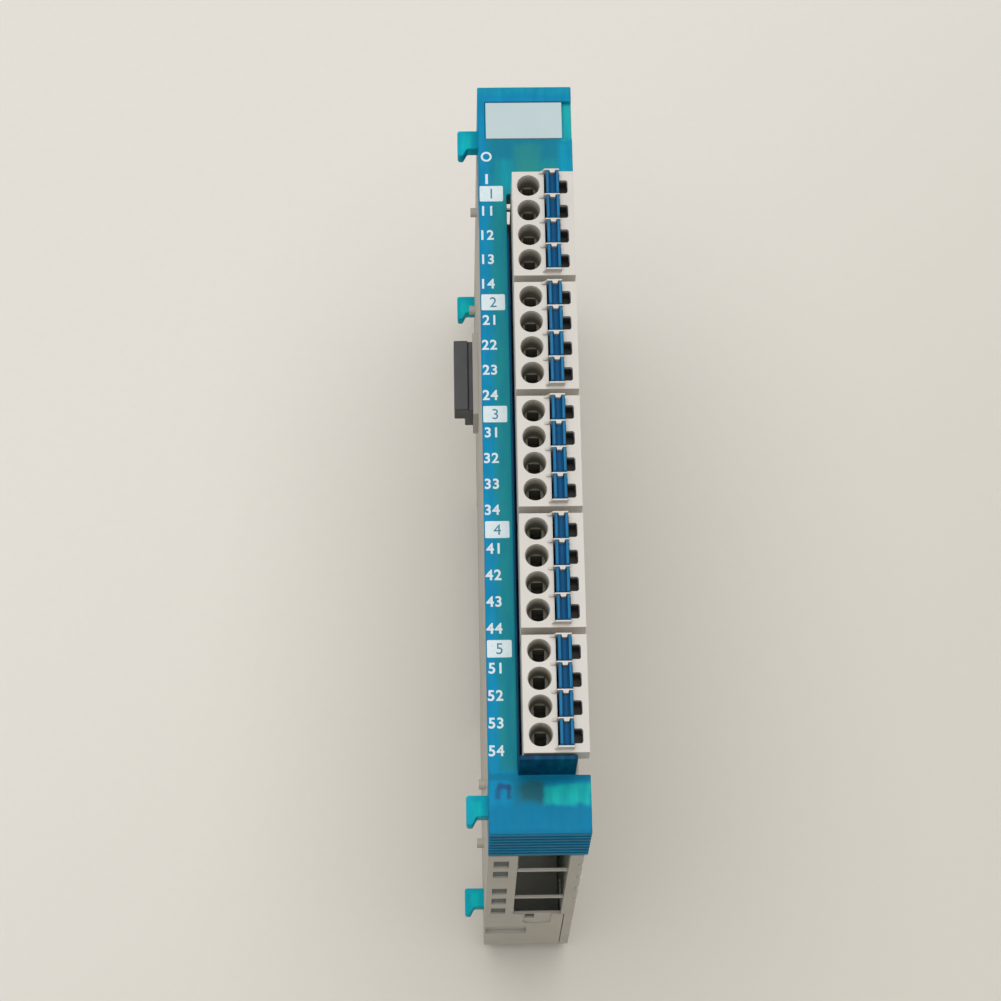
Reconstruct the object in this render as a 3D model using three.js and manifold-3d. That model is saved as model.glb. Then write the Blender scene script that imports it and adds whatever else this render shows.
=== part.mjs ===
// A slim input/output module for the rail of a control cabinet: a housing in two halves, a translucent
// front cover, five pull-off terminal plugs with press levers, side bus connectors, two sliding lock
// bars that hook into the next module, and a sprung rail latch.
//
// Millimetres. +X is to the right and +Y up the long side, seen from the front, and +Z points out of
// the front. The origin is the middle of the face that seats on the rail.

import * as THREE from "three";
import { mergeVertices } from "three/addons/utils/BufferGeometryUtils.js";
import Module from "manifold-3d";

const wasm = await Module();
wasm.setup();

// ---------------------------------------------------------------------------------------------
// Driving dimensions
// ---------------------------------------------------------------------------------------------

const overall = {
  width: 12.5, // the width that one module takes on the rail
  depth: 72, // rear feet to the front plane of the cover
  upperLedge: 1.6, // how far the housing stands past the cover at the upper end
};

const rail = {
  width: 35,
  lip: 1, // thickness of the rail's lips
  recess: 5, // height of the rear feet
  grip: 1.3, // how far a claw reaches over a lip
  play: 0.2,
  relief: 0.2, // how far the seat falls back at the claws
};

const fit = {
  seam: 0.12, // between the housing halves
  seat: 0.1, // between a piece and what it rests on
  slide: 0.15, // beside a piece that slides
  running: 0.3, // between a moving piece and what it passes
};

const shell = {
  wall: 1.2,
  thinWall: 0.5, // around the end windows and the windows for the neighbour's hooks
  rightStep: 0.45, // the housing is this much narrower than the cover
  chamferY: 2.2,
  chamferZ: 4,
  ledgeBase: 10, // rear feet to the upper ledge
  ledgeHeight: 3.6,
  inset: 0.5, // from the rear feet to a claw, and from the left side to the ledge
};

const cover = {
  plate: 1.2,
  skirt: 0.95,
  endWall: 1.5,
  gripDepth: 11.5,
  stripWidth: 3.65,
  stripSkirt: 3,
  rib: 0.7,
  ribDepth: 3.8,
  lowerPart: 7.35, // lower end to the plug window
  upperPart: 15.93, // plug window to the upper end
  stopWall: 0.65, // wall at the lower end of the plug window
  stopHeight: 7, // how far that wall stands out of the front plane
  stopWidth: 7,
  ridges: 8,
  grooveDepth: 0.45,
  grooveShare: 0.45, // of the ridge pitch
};

const marker = {
  width: 10.15,
  length: 5.35,
  thickness: 0.6,
  belowTop: 2.3, // upper edge of the cover to the plate
  fromLeft: 1.05,
  pocket: 0.8,
  clearance: 0.08,
};

const pole = {
  count: 4, // poles in one plug
  pitch: 3.5,
  fromTop: 2, // upper edge of the plug to the first pole
  toEnd: 2.24, // last pole to the lower edge of the plug
  holeFromLeft: 2.09,
  holeRadius: 1.475,
  throatRadius: 1.2,
  funnelDepth: 2.8,
  throatWidth: 1.55,
  throatLength: 1.9,
  partition: 0.5, // between the cavities of two poles
  segments: 32,
};

const plug = {
  count: 5,
  gap: 0.91, // between two plugs
  rightMargin: 0.4, // right edge to the right side of the cover
  standout: 7.2, // front plane of the cover to the face of the plug
  head: 3, // the full-width part
  shoulder: 15.8, // face to the shoulder that meets the header
  nose: 8.4, // the part that enters the header
  noseInset: 0.7,
  noseLeft: 0.45,
  web: 5.2, // face to the cavities
  sideWall: 0.45,
  strip: 1.1, // height of the bars between the levers
  stripLeft: 0.2, // how far the bars go past the levers
  stripRight: 0.05,
  stripSlope: 0.5,
  stripMargin: 0.3, // thickness of the bars beyond the first and last levers
  clearance: 0.21,
};

const lever = {
  width: 1.64,
  gap: 0.36, // between two levers
  fromWall: 0.1, // pocket to the plug's right wall
  reach: 6.8, // face to the underside of its foot
  footLength: 1.3,
  footHeight: 1.4,
  rim: 1.15, // top above the face of the plug
  grooveWidth: 0.8,
  grooveDepth: 0.5,
  nubWidth: 0.76, // of the nub on the bar above each lever, at its root
  nubTip: 0.54,
  nubLength: 0.36,
  travel: 1.2,
  pocketLeft: 0.25,
};

const testHole = {
  width: 1.2,
  above: 0.7,
  below: 1.15,
  depth: 2.3,
  rightMargin: 0.75,
  corner: 0.2,
};

const header = {
  height: 12,
  fromPlugLeft: 0.85,
  endWall: 0.73,
  leftWall: 1.1,
  rightWall: 0.5,
  noseRoom: 0.3,
  floorRoom: 0.5, // under the nose
  pin: 0.7,
  pinTop: 5.5, // above the floor
  pinFromHole: 0.96,
  tail: 0.5,
  tailHeight: 1, // underside of the header to the middle of the tails
  tailOut: 0.15,
};

const clamp = {
  strip: 0.3,
  sideRoom: 0.5, // between a clamp and the partitions beside it
  finger: 0.16, // beside the pin
  bridgeHeight: 10,
  springRise: 5.7,
  bends: [
    // shares of the reach and of the rise
    [0.75, 0.35],
    [1, 0.65],
    [0.8, 1],
    [-0.08, 0.6],
  ],
  slotRoom: 0.2,
};

const board = {
  standoff: 0.35,
  thickness: 1.6,
  floorGap: 0.3,
  frontGap: 0.7,
  endGap: 0.45,
  holeRoom: 0.15,
  padRadius: 1.5,
  padSegments: 12,
  padFromBar: 4, // lock bar's inner limit to the middle of the pads
  padHeights: [14, 52],
  restWidth: 2,
};

const lockBar = {
  fromEnd: 4.95,
  height: 2.7,
  thickness: 1.7,
  reach: 2.68, // how far the hooks stand out of the left side
  hookThickness: 2,
  barb: 1.05,
  barbFlat: 0.75,
  barbSlope: 0.55,
  corner: 0.22,
  frontHookDepth: 6.5, // front plane to the middle of the front hook
  rearHookHeight: 12, // rear feet to the middle of the rear hook
  travel: 1.2,
  springNotch: 1.5,
  springLength: 9,
  springShoulder: 0.7, // share of the spring's rise at a quarter of its length
  entryRoom: 0.6, // beside a neighbour's hook
};

const guide = {
  height: 2,
  lip: 0.75,
  lipReach: 2,
  lower: 20, // rail seat to the lower guide
  upper: 47,
};

const vent = {
  left: 0.75,
  width: 1.95,
  height: 3.7,
  depths: [16.4, 22.2, 32.4, 38.5, 44.8], // front plane to the middle of each slot
};

const sideVent = {
  count: 4,
  pitch: 4.2,
  starts: [-37, 0], // middle of the first slot in each group
  rearEnd: 6,
  belowHeader: 2.4,
};

const endWindow = {
  fromLeft: 3.8,
  fromRight: 1.7,
  lowerDepth: 47.2,
  relief: 4.4, // how far the thinner wall goes on below the window
  bar: 0.7,
  barThickness: 0.3,
  barDepths: [20.2, 36.4],
  toolRadius: 1.95,
  toolCentre: 3.35, // from the left of the window
  toolLength: 4.7,
  toolDepth: 0.2,
  toolSlot: [1.3, 2.8], // width and height of the opening in its upper left part
  toolSlotAbove: 0.5, // window to that opening
  segments: 24,
};

const endMarks = {
  grooveLeft: 0.15,
  grooveWidth: 5.7,
  grooveDepthZ: 57.9,
  grooveHeight: 5,
  groove: 0.6,
  notchFirst: 17.3,
  notchPitch: 6.8,
  notchCount: 4,
  notchHeight: 1.8,
  notch: 0.5,
};

const peg = { radius: 0.65, length: 0.95, fromEnd: 10.45, height: 32.6, low: 18, room: 0.2, segments: 16 };

const bus = {
  y: 23.8,
  z: 31,
  length: 10.6,
  height: 3.6, // of the nose that enters the next module
  baseFront: 0.4, // how far the base lies behind the nose
  baseRear: 2.5, // how far the base goes on to the rear of the nose
  reach: 3.42,
  noseLength: 1.5,
  collar: 0.75,
  collarWidth: 0.9,
  socketWall: 0.95,
  socketDepth: 3.5,
  mouthDepth: 1.8,
  room: 0.15,
  bladeLength: 7,
  blade: 1,
  slitLength: 8.2,
  slit: 1.2,
  slitDepth: 0.75,
};

const latch = {
  width: 6,
  wing: 0.8,
  wingHeight: 1.2,
  top: 1.2, // rail seat down to the latch
  floorGap: 0.3,
  wingFromTop: 1,
  end: 49, // middle of the rail to its outer end
  windowWidth: 3.2,
  windowFrom: 28,
  windowTo: 41,
  post: 1.2,
  pullSlot: 1,
};

const coil = { radius: 1.05, wire: 0.22, turns: 7, stepsPerTurn: 8, sides: 5 };

const lightGuide = { post: 1, pitch: 3.6, firstFromTop: 10.4, base: 0.8, gap: 0.3 };

const light = { count: 2, width: 1.2, length: 1.6, height: 0.8 };

const converter = { y: -14, z: 22, length: 9, height: 9, thickness: 1.4 };
const processor = { y: 3, z: 34, length: 7, height: 7, thickness: 1.2 };
const transformer = { y: -30, z: 24, length: 9, height: 12, thickness: 5.6 };
const capacitor = { count: 2, radius: 2.5, length: 5.4, y: 3, z: 20, pitch: 7, segments: 20 };

// ---------------------------------------------------------------------------------------------
// Planes that the pieces share
// ---------------------------------------------------------------------------------------------

const leftX = -overall.width / 2;
const rightX = overall.width / 2;
const innerX = leftX + shell.wall;
const lidOuterX = rightX - shell.rightStep;
const lidInnerX = lidOuterX - shell.wall;
const tubRightX = lidInnerX - fit.seam;
const boardLeftX = innerX + board.standoff + fit.seat;
const boardRightX = boardLeftX + board.thickness;
const headerLeftX = boardRightX + fit.seat;
const headerRightX = lidInnerX;
const plugLeftX = headerLeftX + header.fromPlugLeft;
const plugRightX = rightX - plug.rightMargin;
const holeX = plugLeftX + pole.holeFromLeft;
const pinX = holeX + header.pinFromHole;
const bodyInnerX = headerRightX - plug.sideWall;
const leverRightX = bodyInnerX - lever.fromWall - fit.seat;
const leverLeftX = leverRightX - lever.width;
const fingerHalf = header.pin / 2 + clamp.finger + clamp.strip;
const clampLeftX = pinX - fingerHalf;
const clampRightX = pinX + fingerHalf;

const plugLength = pole.fromTop + (pole.count - 1) * pole.pitch + pole.toEnd;
const plugPitch = plugLength + plug.gap;
const leverLength = pole.pitch - lever.gap;
const cavityLength = pole.pitch - pole.partition;
const clampWidth = cavityLength - 2 * clamp.sideRoom;

const rowLength = plug.count * plugPitch - plug.gap + 3 * plug.clearance;
const coverLength = cover.lowerPart + cover.stopWall + rowLength + cover.upperPart;
const endY = coverLength / 2;
const seatHalf = rail.width / 2 + rail.play;
const clawTipY = rail.width / 2 - rail.grip;
const padHalf = clawTipY - fit.running;
const windowLowY = -endY + cover.lowerPart;
const plugBaseY = windowLowY + cover.stopWall + plug.clearance;
const windowHighY = endY - cover.upperPart;
const barY = endY - lockBar.fromEnd;
const barInnerY = barY - lockBar.height / 2 - lockBar.travel;

const rearZ = -rail.recess;
const frontZ = rearZ + overall.depth;
const plateZ = frontZ - cover.plate;
const coverRearZ = frontZ - cover.gripDepth;
const housingTopZ = coverRearZ - fit.running;
const sideTopZ = frontZ - cover.stripSkirt - fit.running;
const faceZ = frontZ + plug.standout;
const shoulderZ = faceZ - plug.shoulder;
const noseZ = shoulderZ - plug.nose;
const headerTopZ = shoulderZ - fit.seat;
const headerLowZ = headerTopZ - header.height;
const headerFloorZ = noseZ - header.floorRoom;
const webZ = faceZ - plug.web;
const frontHookZ = frontZ - lockBar.frontHookDepth;
const rearHookZ = rearZ + lockBar.rearHookHeight;
const barLowZ = rearHookZ - lockBar.hookThickness / 2;
const barHighZ = frontHookZ + lockBar.hookThickness / 2;
const boardTopZ = frontZ - cover.ribDepth - board.frontGap;

// ---------------------------------------------------------------------------------------------
// Materials
// ---------------------------------------------------------------------------------------------

function plastic(color, roughness) {
  return new THREE.MeshStandardMaterial({ color, roughness, metalness: 0 });
}

function metal(color, roughness) {
  return new THREE.MeshStandardMaterial({ color, roughness, metalness: 1 });
}

const translucentBlue = new THREE.MeshStandardMaterial({
  color: 0x0a8fb5,
  roughness: 0.32,
  metalness: 0,
  transparent: true,
  opacity: 0.9,
});
const translucentTeal = new THREE.MeshStandardMaterial({
  color: 0x12aeb8,
  roughness: 0.3,
  metalness: 0,
  transparent: true,
  opacity: 0.9,
});
const clearPlastic = new THREE.MeshStandardMaterial({
  color: 0xe6eef0,
  roughness: 0.15,
  metalness: 0,
  transparent: true,
  opacity: 0.5,
});
const housingGrey = plastic(0xc9c5bd, 0.55);
const plugGrey = plastic(0xd2cdc4, 0.5);
const leverBlue = plastic(0x14558c, 0.4);
const markerWhite = plastic(0xd3dee4, 0.5);
const connectorGrey = plastic(0x4a4a4d, 0.5);
const headerGrey = plastic(0xb9b5ac, 0.55);
const boardGreen = plastic(0x1f5a3a, 0.45);
const chipBlack = plastic(0x1c1c1e, 0.5);
const latchGrey = plastic(0xb4b0a8, 0.5);
const lightWhite = plastic(0xf0efe6, 0.3);
const springSteel = metal(0xb8bcc0, 0.3);
const canAluminium = metal(0xc6c9cc, 0.35);

// ---------------------------------------------------------------------------------------------
// Solids
// ---------------------------------------------------------------------------------------------

const MERGE_DISTANCE = 1e-4;
const PAST = 1; // how far a cutting tool runs past what it cuts
const WELD = 0.5; // how deep a joined piece sinks into the other

function solidOf(geometry) {
  geometry.deleteAttribute("normal");
  geometry.deleteAttribute("uv");
  const merged = mergeVertices(geometry, MERGE_DISTANCE);
  const mesh = new wasm.Mesh({
    numProp: 3,
    vertProperties: merged.attributes.position.array,
    triVerts: Uint32Array.from(merged.index.array),
  });
  return new wasm.Manifold(mesh);
}

function block([x0, x1], [y0, y1], [z0, z1]) {
  const geometry = new THREE.BoxGeometry(x1 - x0, y1 - y0, z1 - z0);
  geometry.translate((x0 + x1) / 2, (y0 + y1) / 2, (z0 + z1) / 2);
  return solidOf(geometry);
}

// Sweeps a closed outline along one axis. Its points are [y, z] for x, [x, z] for y and [x, y] for z.
function prism(axis, [from, to], points) {
  const shape = new THREE.Shape(points.map(([u, v]) => new THREE.Vector2(u, v)));
  const geometry = new THREE.ExtrudeGeometry(shape, { depth: to - from, bevelEnabled: false });
  const [x, y, z] = [new THREE.Vector3(1, 0, 0), new THREE.Vector3(0, 1, 0), new THREE.Vector3(0, 0, 1)];
  const placed = new THREE.Matrix4();
  if (axis === "x") {
    placed.makeBasis(y, z, x).setPosition(from, 0, 0);
  } else if (axis === "y") {
    placed.makeBasis(x, z, y.clone().negate()).setPosition(0, to, 0);
  } else {
    placed.setPosition(0, 0, from);
  }
  geometry.applyMatrix4(placed);
  return solidOf(geometry);
}

function circle([u, v], radius, segments) {
  const points = [];
  for (let i = 0; i < segments; i += 1) {
    const angle = (2 * Math.PI * (i + 0.5)) / segments;
    points.push([u + radius * Math.cos(angle), v + radius * Math.sin(angle)]);
  }
  return points;
}

// A round funnel along Z, wide at the top.
function funnel([x, y], [lowZ, highZ], [lowRadius, highRadius], segments) {
  const geometry = new THREE.CylinderGeometry(highRadius, lowRadius, highZ - lowZ, segments);
  geometry.rotateX(Math.PI / 2);
  geometry.translate(x, y, (lowZ + highZ) / 2);
  return solidOf(geometry);
}

// The outline of a bent strip of even thickness, its path given along the middle.
function stripOutline(path, thickness) {
  const side = (sign) =>
    path.map(([u, v], i) => {
      const [pu, pv] = path[Math.max(i - 1, 0)];
      const [nu, nv] = path[Math.min(i + 1, path.length - 1)];
      const length = Math.hypot(nu - pu, nv - pv);
      const offset = (sign * thickness) / 2 / length;
      return [u - (nv - pv) * offset, v + (nu - pu) * offset];
    });
  return [...side(1), ...side(-1).reverse()];
}

function join(first, ...others) {
  return others.reduce((sum, other) => sum.add(other), first);
}

function cut(solid, ...tools) {
  return tools.reduce((rest, tool) => rest.subtract(tool), solid);
}

function span(middle, length) {
  return [middle - length / 2, middle + length / 2];
}

function between(a, b) {
  return [Math.min(a, b), Math.max(a, b)];
}

// ---------------------------------------------------------------------------------------------
// The model
// ---------------------------------------------------------------------------------------------

const model = new THREE.Group();

function addPart(name, solid, material, group = model) {
  const { vertProperties, triVerts } = solid.getMesh();
  const geometry = new THREE.BufferGeometry();
  geometry.setAttribute("position", new THREE.BufferAttribute(vertProperties, 3));
  geometry.setIndex(new THREE.BufferAttribute(triVerts, 1));
  geometry.computeVertexNormals();
  const mesh = new THREE.Mesh(geometry, material);
  mesh.name = name;
  group.add(mesh);
}

// How much of Y a hook needs to slide in.
function hookTravelSpan(side) {
  const low = side * barY - lockBar.height / 2 - fit.slide;
  return [low, low + lockBar.height + lockBar.travel + 2 * fit.slide];
}

// Where a hook comes through the left wall.
function hookWindow(side, hookZ) {
  const zSpan = span(hookZ, lockBar.hookThickness + 2 * fit.slide);
  return block([leftX - PAST, innerX + fit.slide], hookTravelSpan(side), zSpan);
}

// --- Front cover -----------------------------------------------------------------------------

// Parallel grooves across one end of the cover, which leave ridges to grip.
function gripGrooves(side) {
  const pitch = cover.gripDepth / cover.ridges;
  const ySpan = between(side * (endY + PAST), side * (endY - cover.grooveDepth));
  const grooves = [];
  for (let i = 1; i < cover.ridges; i += 1) {
    const z = coverRearZ + i * pitch;
    grooves.push(block([leftX - PAST, rightX + PAST], ySpan, span(z, pitch * cover.grooveShare)));
  }
  return grooves;
}

// One end of the cover: plate, two side skirts and the ridged end wall.
function coverEnd(side, edgeY) {
  const [low, high] = side > 0 ? [edgeY, endY] : [-endY, edgeY];
  const outside = block([leftX, rightX], [low, high], [coverRearZ, frontZ]);
  const innerLow = side > 0 ? low - PAST : low + cover.endWall;
  const innerHigh = side > 0 ? high - cover.endWall : high + PAST;
  const room = block(
    [leftX + cover.skirt, rightX - cover.skirt],
    [innerLow, innerHigh],
    [coverRearZ - PAST, plateZ],
  );
  const hookSlots = block(
    [leftX - PAST, rightX + PAST],
    hookTravelSpan(side),
    [coverRearZ - PAST, barHighZ + fit.slide],
  );
  return cut(outside, room, hookSlots, ...gripGrooves(side));
}

// The strip beside the plugs, and the wall at the lower end of the plug window.
function coverStrip() {
  const stripRight = leftX + cover.stripWidth;
  const ySpan = [windowLowY - WELD, windowHighY + WELD];
  const ribZ = [frontZ - cover.ribDepth, frontZ];
  return join(
    block([leftX, stripRight], ySpan, [plateZ, frontZ]),
    block([leftX, leftX + cover.skirt], ySpan, [frontZ - cover.stripSkirt, frontZ]),
    block([stripRight - cover.rib, stripRight], [windowLowY, windowHighY], ribZ),
    block(
      [stripRight, stripRight + cover.stopWidth],
      [windowLowY, windowLowY + cover.stopWall],
      [plateZ, frontZ + cover.stopHeight],
    ),
  );
}

function buildCover() {
  const markerTop = endY - marker.belowTop + marker.clearance;
  const markerLow = markerTop - marker.length - 2 * marker.clearance;
  const pocket = block(
    [leftX + marker.fromLeft - marker.clearance, rightX + PAST],
    [markerLow, markerTop],
    [frontZ - marker.pocket, frontZ + PAST],
  );
  const ends = join(coverEnd(-1, windowLowY), coverEnd(1, windowHighY));
  addPart("front_cover", cut(join(ends, coverStrip()), pocket), translucentBlue);
}

function buildMarker() {
  const top = endY - marker.belowTop;
  const left = leftX + marker.fromLeft;
  const rear = frontZ - marker.pocket + fit.seat;
  const plate = block(
    [left, left + marker.width],
    [top - marker.length, top],
    [rear, rear + marker.thickness],
  );
  addPart("marker_plate", plate, markerWhite);
}

// --- Housing ---------------------------------------------------------------------------------

// The outline of the housing seen from the side, with its front edge at the given heights.
function sideOutline(frontEdge) {
  const footEnd = endY - shell.chamferY;
  return [
    [-footEnd, rearZ],
    [-seatHalf, rearZ],
    [-seatHalf, rail.relief],
    [-padHalf, rail.relief],
    [-padHalf, 0],
    [padHalf, 0],
    [padHalf, rail.relief],
    [seatHalf, rail.relief],
    [seatHalf, rearZ],
    [footEnd, rearZ],
    [endY, rearZ + shell.chamferZ],
    ...frontEdge,
    [-endY, rearZ + shell.chamferZ],
  ];
}

function tubSideEdge() {
  return [
    [endY, housingTopZ],
    [windowHighY, housingTopZ],
    [windowHighY, sideTopZ],
    [windowLowY, sideTopZ],
    [windowLowY, housingTopZ],
    [-endY, housingTopZ],
  ];
}

function lidFrontEdge() {
  const notchLow = windowLowY;
  const notchHigh = windowHighY + fit.running;
  const notchZ = headerLowZ - fit.running;
  return [
    [endY, housingTopZ],
    [notchHigh, housingTopZ],
    [notchHigh, notchZ],
    [notchLow, notchZ],
    [notchLow, housingTopZ],
    [-endY, housingTopZ],
  ];
}

function endWallSpan(side) {
  return between(side * (endY - shell.wall), side * endY);
}

// Cuts that go through one end wall: the window between its crossbars and the vent slots.
function endOpenings(side) {
  const [y0, y1] = endWallSpan(side);
  const ySpan = [y0 - PAST, y1 + PAST];
  const windowLeft = leftX + endWindow.fromLeft;
  const windowLowZ = frontZ - endWindow.lowerDepth;
  const ventX = [leftX + vent.left, leftX + vent.left + vent.width];
  const vents = vent.depths.map((depth) => block(ventX, ySpan, span(frontZ - depth, vent.height)));
  return [block([windowLeft, rightX], ySpan, [windowLowZ, frontZ]), ...vents];
}

// The inner part of one end wall that is taken away around its window.
function endRelief(side) {
  const ySpan = between(side * (endY - shell.wall - PAST), side * (endY - shell.thinWall));
  const low = frontZ - endWindow.lowerDepth - endWindow.relief;
  return block([leftX + endWindow.fromLeft, rightX], ySpan, [low, frontZ]);
}

function endCrossbars(side) {
  const left = leftX + endWindow.fromLeft - shell.wall;
  const right = lidOuterX - endWindow.fromRight - fit.seam;
  const ySpan = between(side * (endY - endWindow.barThickness), side * endY);
  return endWindow.barDepths.map((depth) =>
    block([left, right], ySpan, span(frontZ - depth, endWindow.bar)),
  );
}

// The rounded recess below the window at the lower end, and the opening in it.
function toolRecess() {
  const top = frontZ - endWindow.lowerDepth;
  const centreZ = top - endWindow.toolLength;
  const ySpan = [-endY - PAST, -endY + endWindow.toolDepth];
  const x = leftX + endWindow.fromLeft + endWindow.toolCentre;
  const [width, height] = endWindow.toolSlot;
  const left = x - endWindow.toolRadius + shell.thinWall / 2;
  const slotTop = top - endWindow.toolSlotAbove;
  const slotY = [-endY, -endY + shell.thinWall + PAST];
  return join(
    prism("y", ySpan, circle([x, centreZ], endWindow.toolRadius, endWindow.segments)),
    block(span(x, 2 * endWindow.toolRadius), ySpan, [centreZ, top + PAST]),
    block([left, left + width], slotY, [slotTop - height, slotTop]),
  );
}

function endGroove() {
  const left = leftX + endMarks.grooveLeft;
  return block(
    [left, left + endMarks.grooveWidth],
    [-endY - PAST, -endY + endMarks.groove],
    span(frontZ - endMarks.grooveDepthZ, endMarks.grooveHeight),
  );
}

// The section across the latch's slide, with extra room around it for the channel.
function latchSection(extra, low) {
  const half = latch.width / 2 + extra;
  const wing = half + latch.wing;
  const top = -latch.top + extra;
  const wingTop = -latch.top - latch.wingFromTop + extra;
  const wingLow = wingTop - latch.wingHeight - 2 * extra;
  return [
    [-half, top],
    [-half, wingTop],
    [-wing, wingTop],
    [-wing, wingLow],
    [-half, wingLow],
    [-half, low],
    [half, low],
    [half, wingLow],
    [wing, wingLow],
    [wing, wingTop],
    [half, wingTop],
    [half, top],
  ];
}

function latchX() {
  return (leftX + tubRightX) / 2;
}

function latchChannel() {
  const section = latchSection(fit.slide, rearZ - PAST);
  return prism("y", [-endY - PAST, -seatHalf + PAST], section).translate([latchX(), 0, 0]);
}

// The post inside the latch's window that its spring pushes against.
function springPost() {
  const from = -latch.windowTo + fit.running;
  return block(
    span(latchX(), latch.windowWidth - 2 * fit.running),
    [from, from + latch.post],
    [rearZ + latch.floorGap + fit.running, 0],
  );
}

// The hollow inside the rear foot above the rail.
function upperFootRoom() {
  return block(
    [innerX, tubRightX - shell.wall],
    [seatHalf + 2 * shell.wall, endY - shell.chamferY - shell.wall],
    [rearZ + shell.wall, shell.wall + PAST],
  );
}

// The outline of a claw that hooks behind one lip of the rail, seen from the side.
function clawOutline(side, [top, low]) {
  return [
    [side * (seatHalf + WELD), top],
    [side * clawTipY, top],
    [side * (clawTipY + rail.grip / 2), low],
    [side * (seatHalf + WELD), low],
  ];
}

function fixedClaw() {
  const top = -rail.lip - rail.play;
  return prism("x", [innerX, tubRightX], clawOutline(1, [top, rearZ + shell.inset]));
}

// Brackets on the left wall that a lock bar slides in, one on each of two levels.
function barGuides(side) {
  const barRight = innerX + fit.slide + lockBar.thickness;
  const travelRoom = side > 0 ? lockBar.travel : 0;
  const nearY = barY + lockBar.height / 2 + fit.slide + travelRoom;
  const lipEndY = nearY - guide.lipReach - travelRoom;
  const lipX = [barRight + fit.slide, barRight + fit.slide + guide.lip];
  const armY = between(side * nearY, side * (endY - WELD));
  const lipY = between(side * lipEndY, side * (nearY + fit.slide));
  const brackets = [guide.lower, guide.upper].map((z) => {
    const zSpan = span(z, guide.height);
    return join(block([innerX - WELD, lipX[1]], armY, zSpan), block(lipX, lipY, zSpan));
  });
  return join(...brackets);
}

// The stop on the left wall that a lock bar's return spring pushes against.
function springStop(side) {
  const near = side * barY + lockBar.height / 2 + fit.seat;
  const far = side > 0 ? endY - WELD : -barInnerY - fit.seat;
  const z = (barLowZ + barHighZ) / 2;
  const xSpan = [innerX - WELD, innerX + fit.slide + lockBar.thickness];
  return block(xSpan, [near, far], span(z, guide.height));
}

function boardPads() {
  const pads = [];
  const xSpan = [innerX - WELD, boardLeftX - fit.seat];
  for (const y of [-barInnerY + board.padFromBar, barInnerY - board.padFromBar]) {
    for (const z of board.padHeights) {
      pads.push(prism("x", xSpan, circle([y, z], board.padRadius, board.padSegments)));
    }
  }
  return pads;
}

// Two rests on the housing's floor that the board stands on.
function boardRests() {
  const zSpan = [shell.wall - WELD, shell.wall + board.floorGap - fit.seat];
  return [-barInnerY + 2 * board.padFromBar, barInnerY - 2 * board.padFromBar].map((y) =>
    block([innerX - WELD, boardRightX], span(y, board.restWidth), zSpan),
  );
}

function pegPlaces() {
  const y = endY - peg.fromEnd;
  return [
    [-y, peg.low],
    [y, peg.low],
    [-y, peg.low + peg.height],
    [y, peg.low + peg.height],
  ];
}

// What the bus plug's nose takes of Y and Z, with extra room around it.
function busNoseSpans(extra) {
  return [span(bus.y, bus.length + 2 * extra), span(bus.z, bus.height + 2 * extra)];
}

function busBaseSpans(extra) {
  const low = bus.z - bus.height / 2 - bus.baseRear - extra;
  const high = bus.z + bus.height / 2 - bus.baseFront + extra;
  return [span(bus.y, bus.length + 2 * extra), [low, high]];
}

function buildTub() {
  const outside = prism("x", [leftX, tubRightX], sideOutline(tubSideEdge()));
  const room = block([innerX, rightX], [-endY + shell.wall, endY - shell.wall], [shell.wall, frontZ]);
  const aboveEnds = block([innerX, rightX], [-endY - PAST, endY + PAST], [housingTopZ, frontZ]);
  const ledge = block(
    [leftX + shell.inset, tubRightX],
    [endY - WELD, endY + overall.upperLedge],
    [rearZ + shell.ledgeBase, rearZ + shell.ledgeBase + shell.ledgeHeight],
  );
  const pegs = pegPlaces().map((place) =>
    prism("x", [leftX - peg.length, innerX - WELD], circle(place, peg.radius, peg.segments)),
  );
  const collar = block([leftX - bus.collar, leftX + WELD], ...busBaseSpans(bus.collarWidth));
  let tub = cut(outside, room, aboveEnds, endRelief(-1), endRelief(1), upperFootRoom());
  tub = cut(tub, ...endOpenings(-1), ...endOpenings(1), toolRecess(), endGroove());
  tub = join(tub, fixedClaw(), ledge, collar);
  tub = join(tub, ...endCrossbars(-1), ...endCrossbars(1), ...pegs, ...boardPads(), ...boardRests());
  tub = join(tub, barGuides(-1), barGuides(1), springStop(-1), springStop(1));
  tub = cut(
    tub,
    latchChannel(),
    block([leftX - bus.collar - PAST, innerX + PAST], ...busBaseSpans(fit.slide)),
    hookWindow(-1, rearHookZ),
    hookWindow(-1, frontHookZ),
    hookWindow(1, rearHookZ),
  );
  addPart("housing_left", join(tub, springPost()), housingGrey);
}

// The right edge of each end of the housing, which belongs to the lid.
function lidFlange(side) {
  const left = lidOuterX - endWindow.fromRight;
  const low = frontZ - endWindow.lowerDepth + fit.seam;
  return block([left, lidOuterX], endWallSpan(side), [low, housingTopZ]);
}

// Where a neighbour's rear hook enters the lid: a window, and a thinner wall behind it.
function hookEntry(side) {
  const [low, high] = hookTravelSpan(side);
  const zSpan = span(rearHookZ, lockBar.hookThickness + lockBar.entryRoom);
  const barbLow = low - lockBar.barb - fit.slide;
  return join(
    block([lidInnerX - PAST, lidOuterX + PAST], [low, high], zSpan),
    block([lidInnerX - PAST, lidOuterX - shell.thinWall], [barbLow, high], zSpan),
  );
}

function cornerNotches() {
  const notches = [];
  for (let i = 0; i < endMarks.notchCount; i += 1) {
    const z = frontZ - endMarks.notchFirst - i * endMarks.notchPitch;
    notches.push(
      block(
        [lidOuterX - endMarks.notch, lidOuterX + PAST],
        [-endY - PAST, -endY + endMarks.notch],
        span(z, endMarks.notchHeight),
      ),
    );
  }
  return notches;
}

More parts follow.
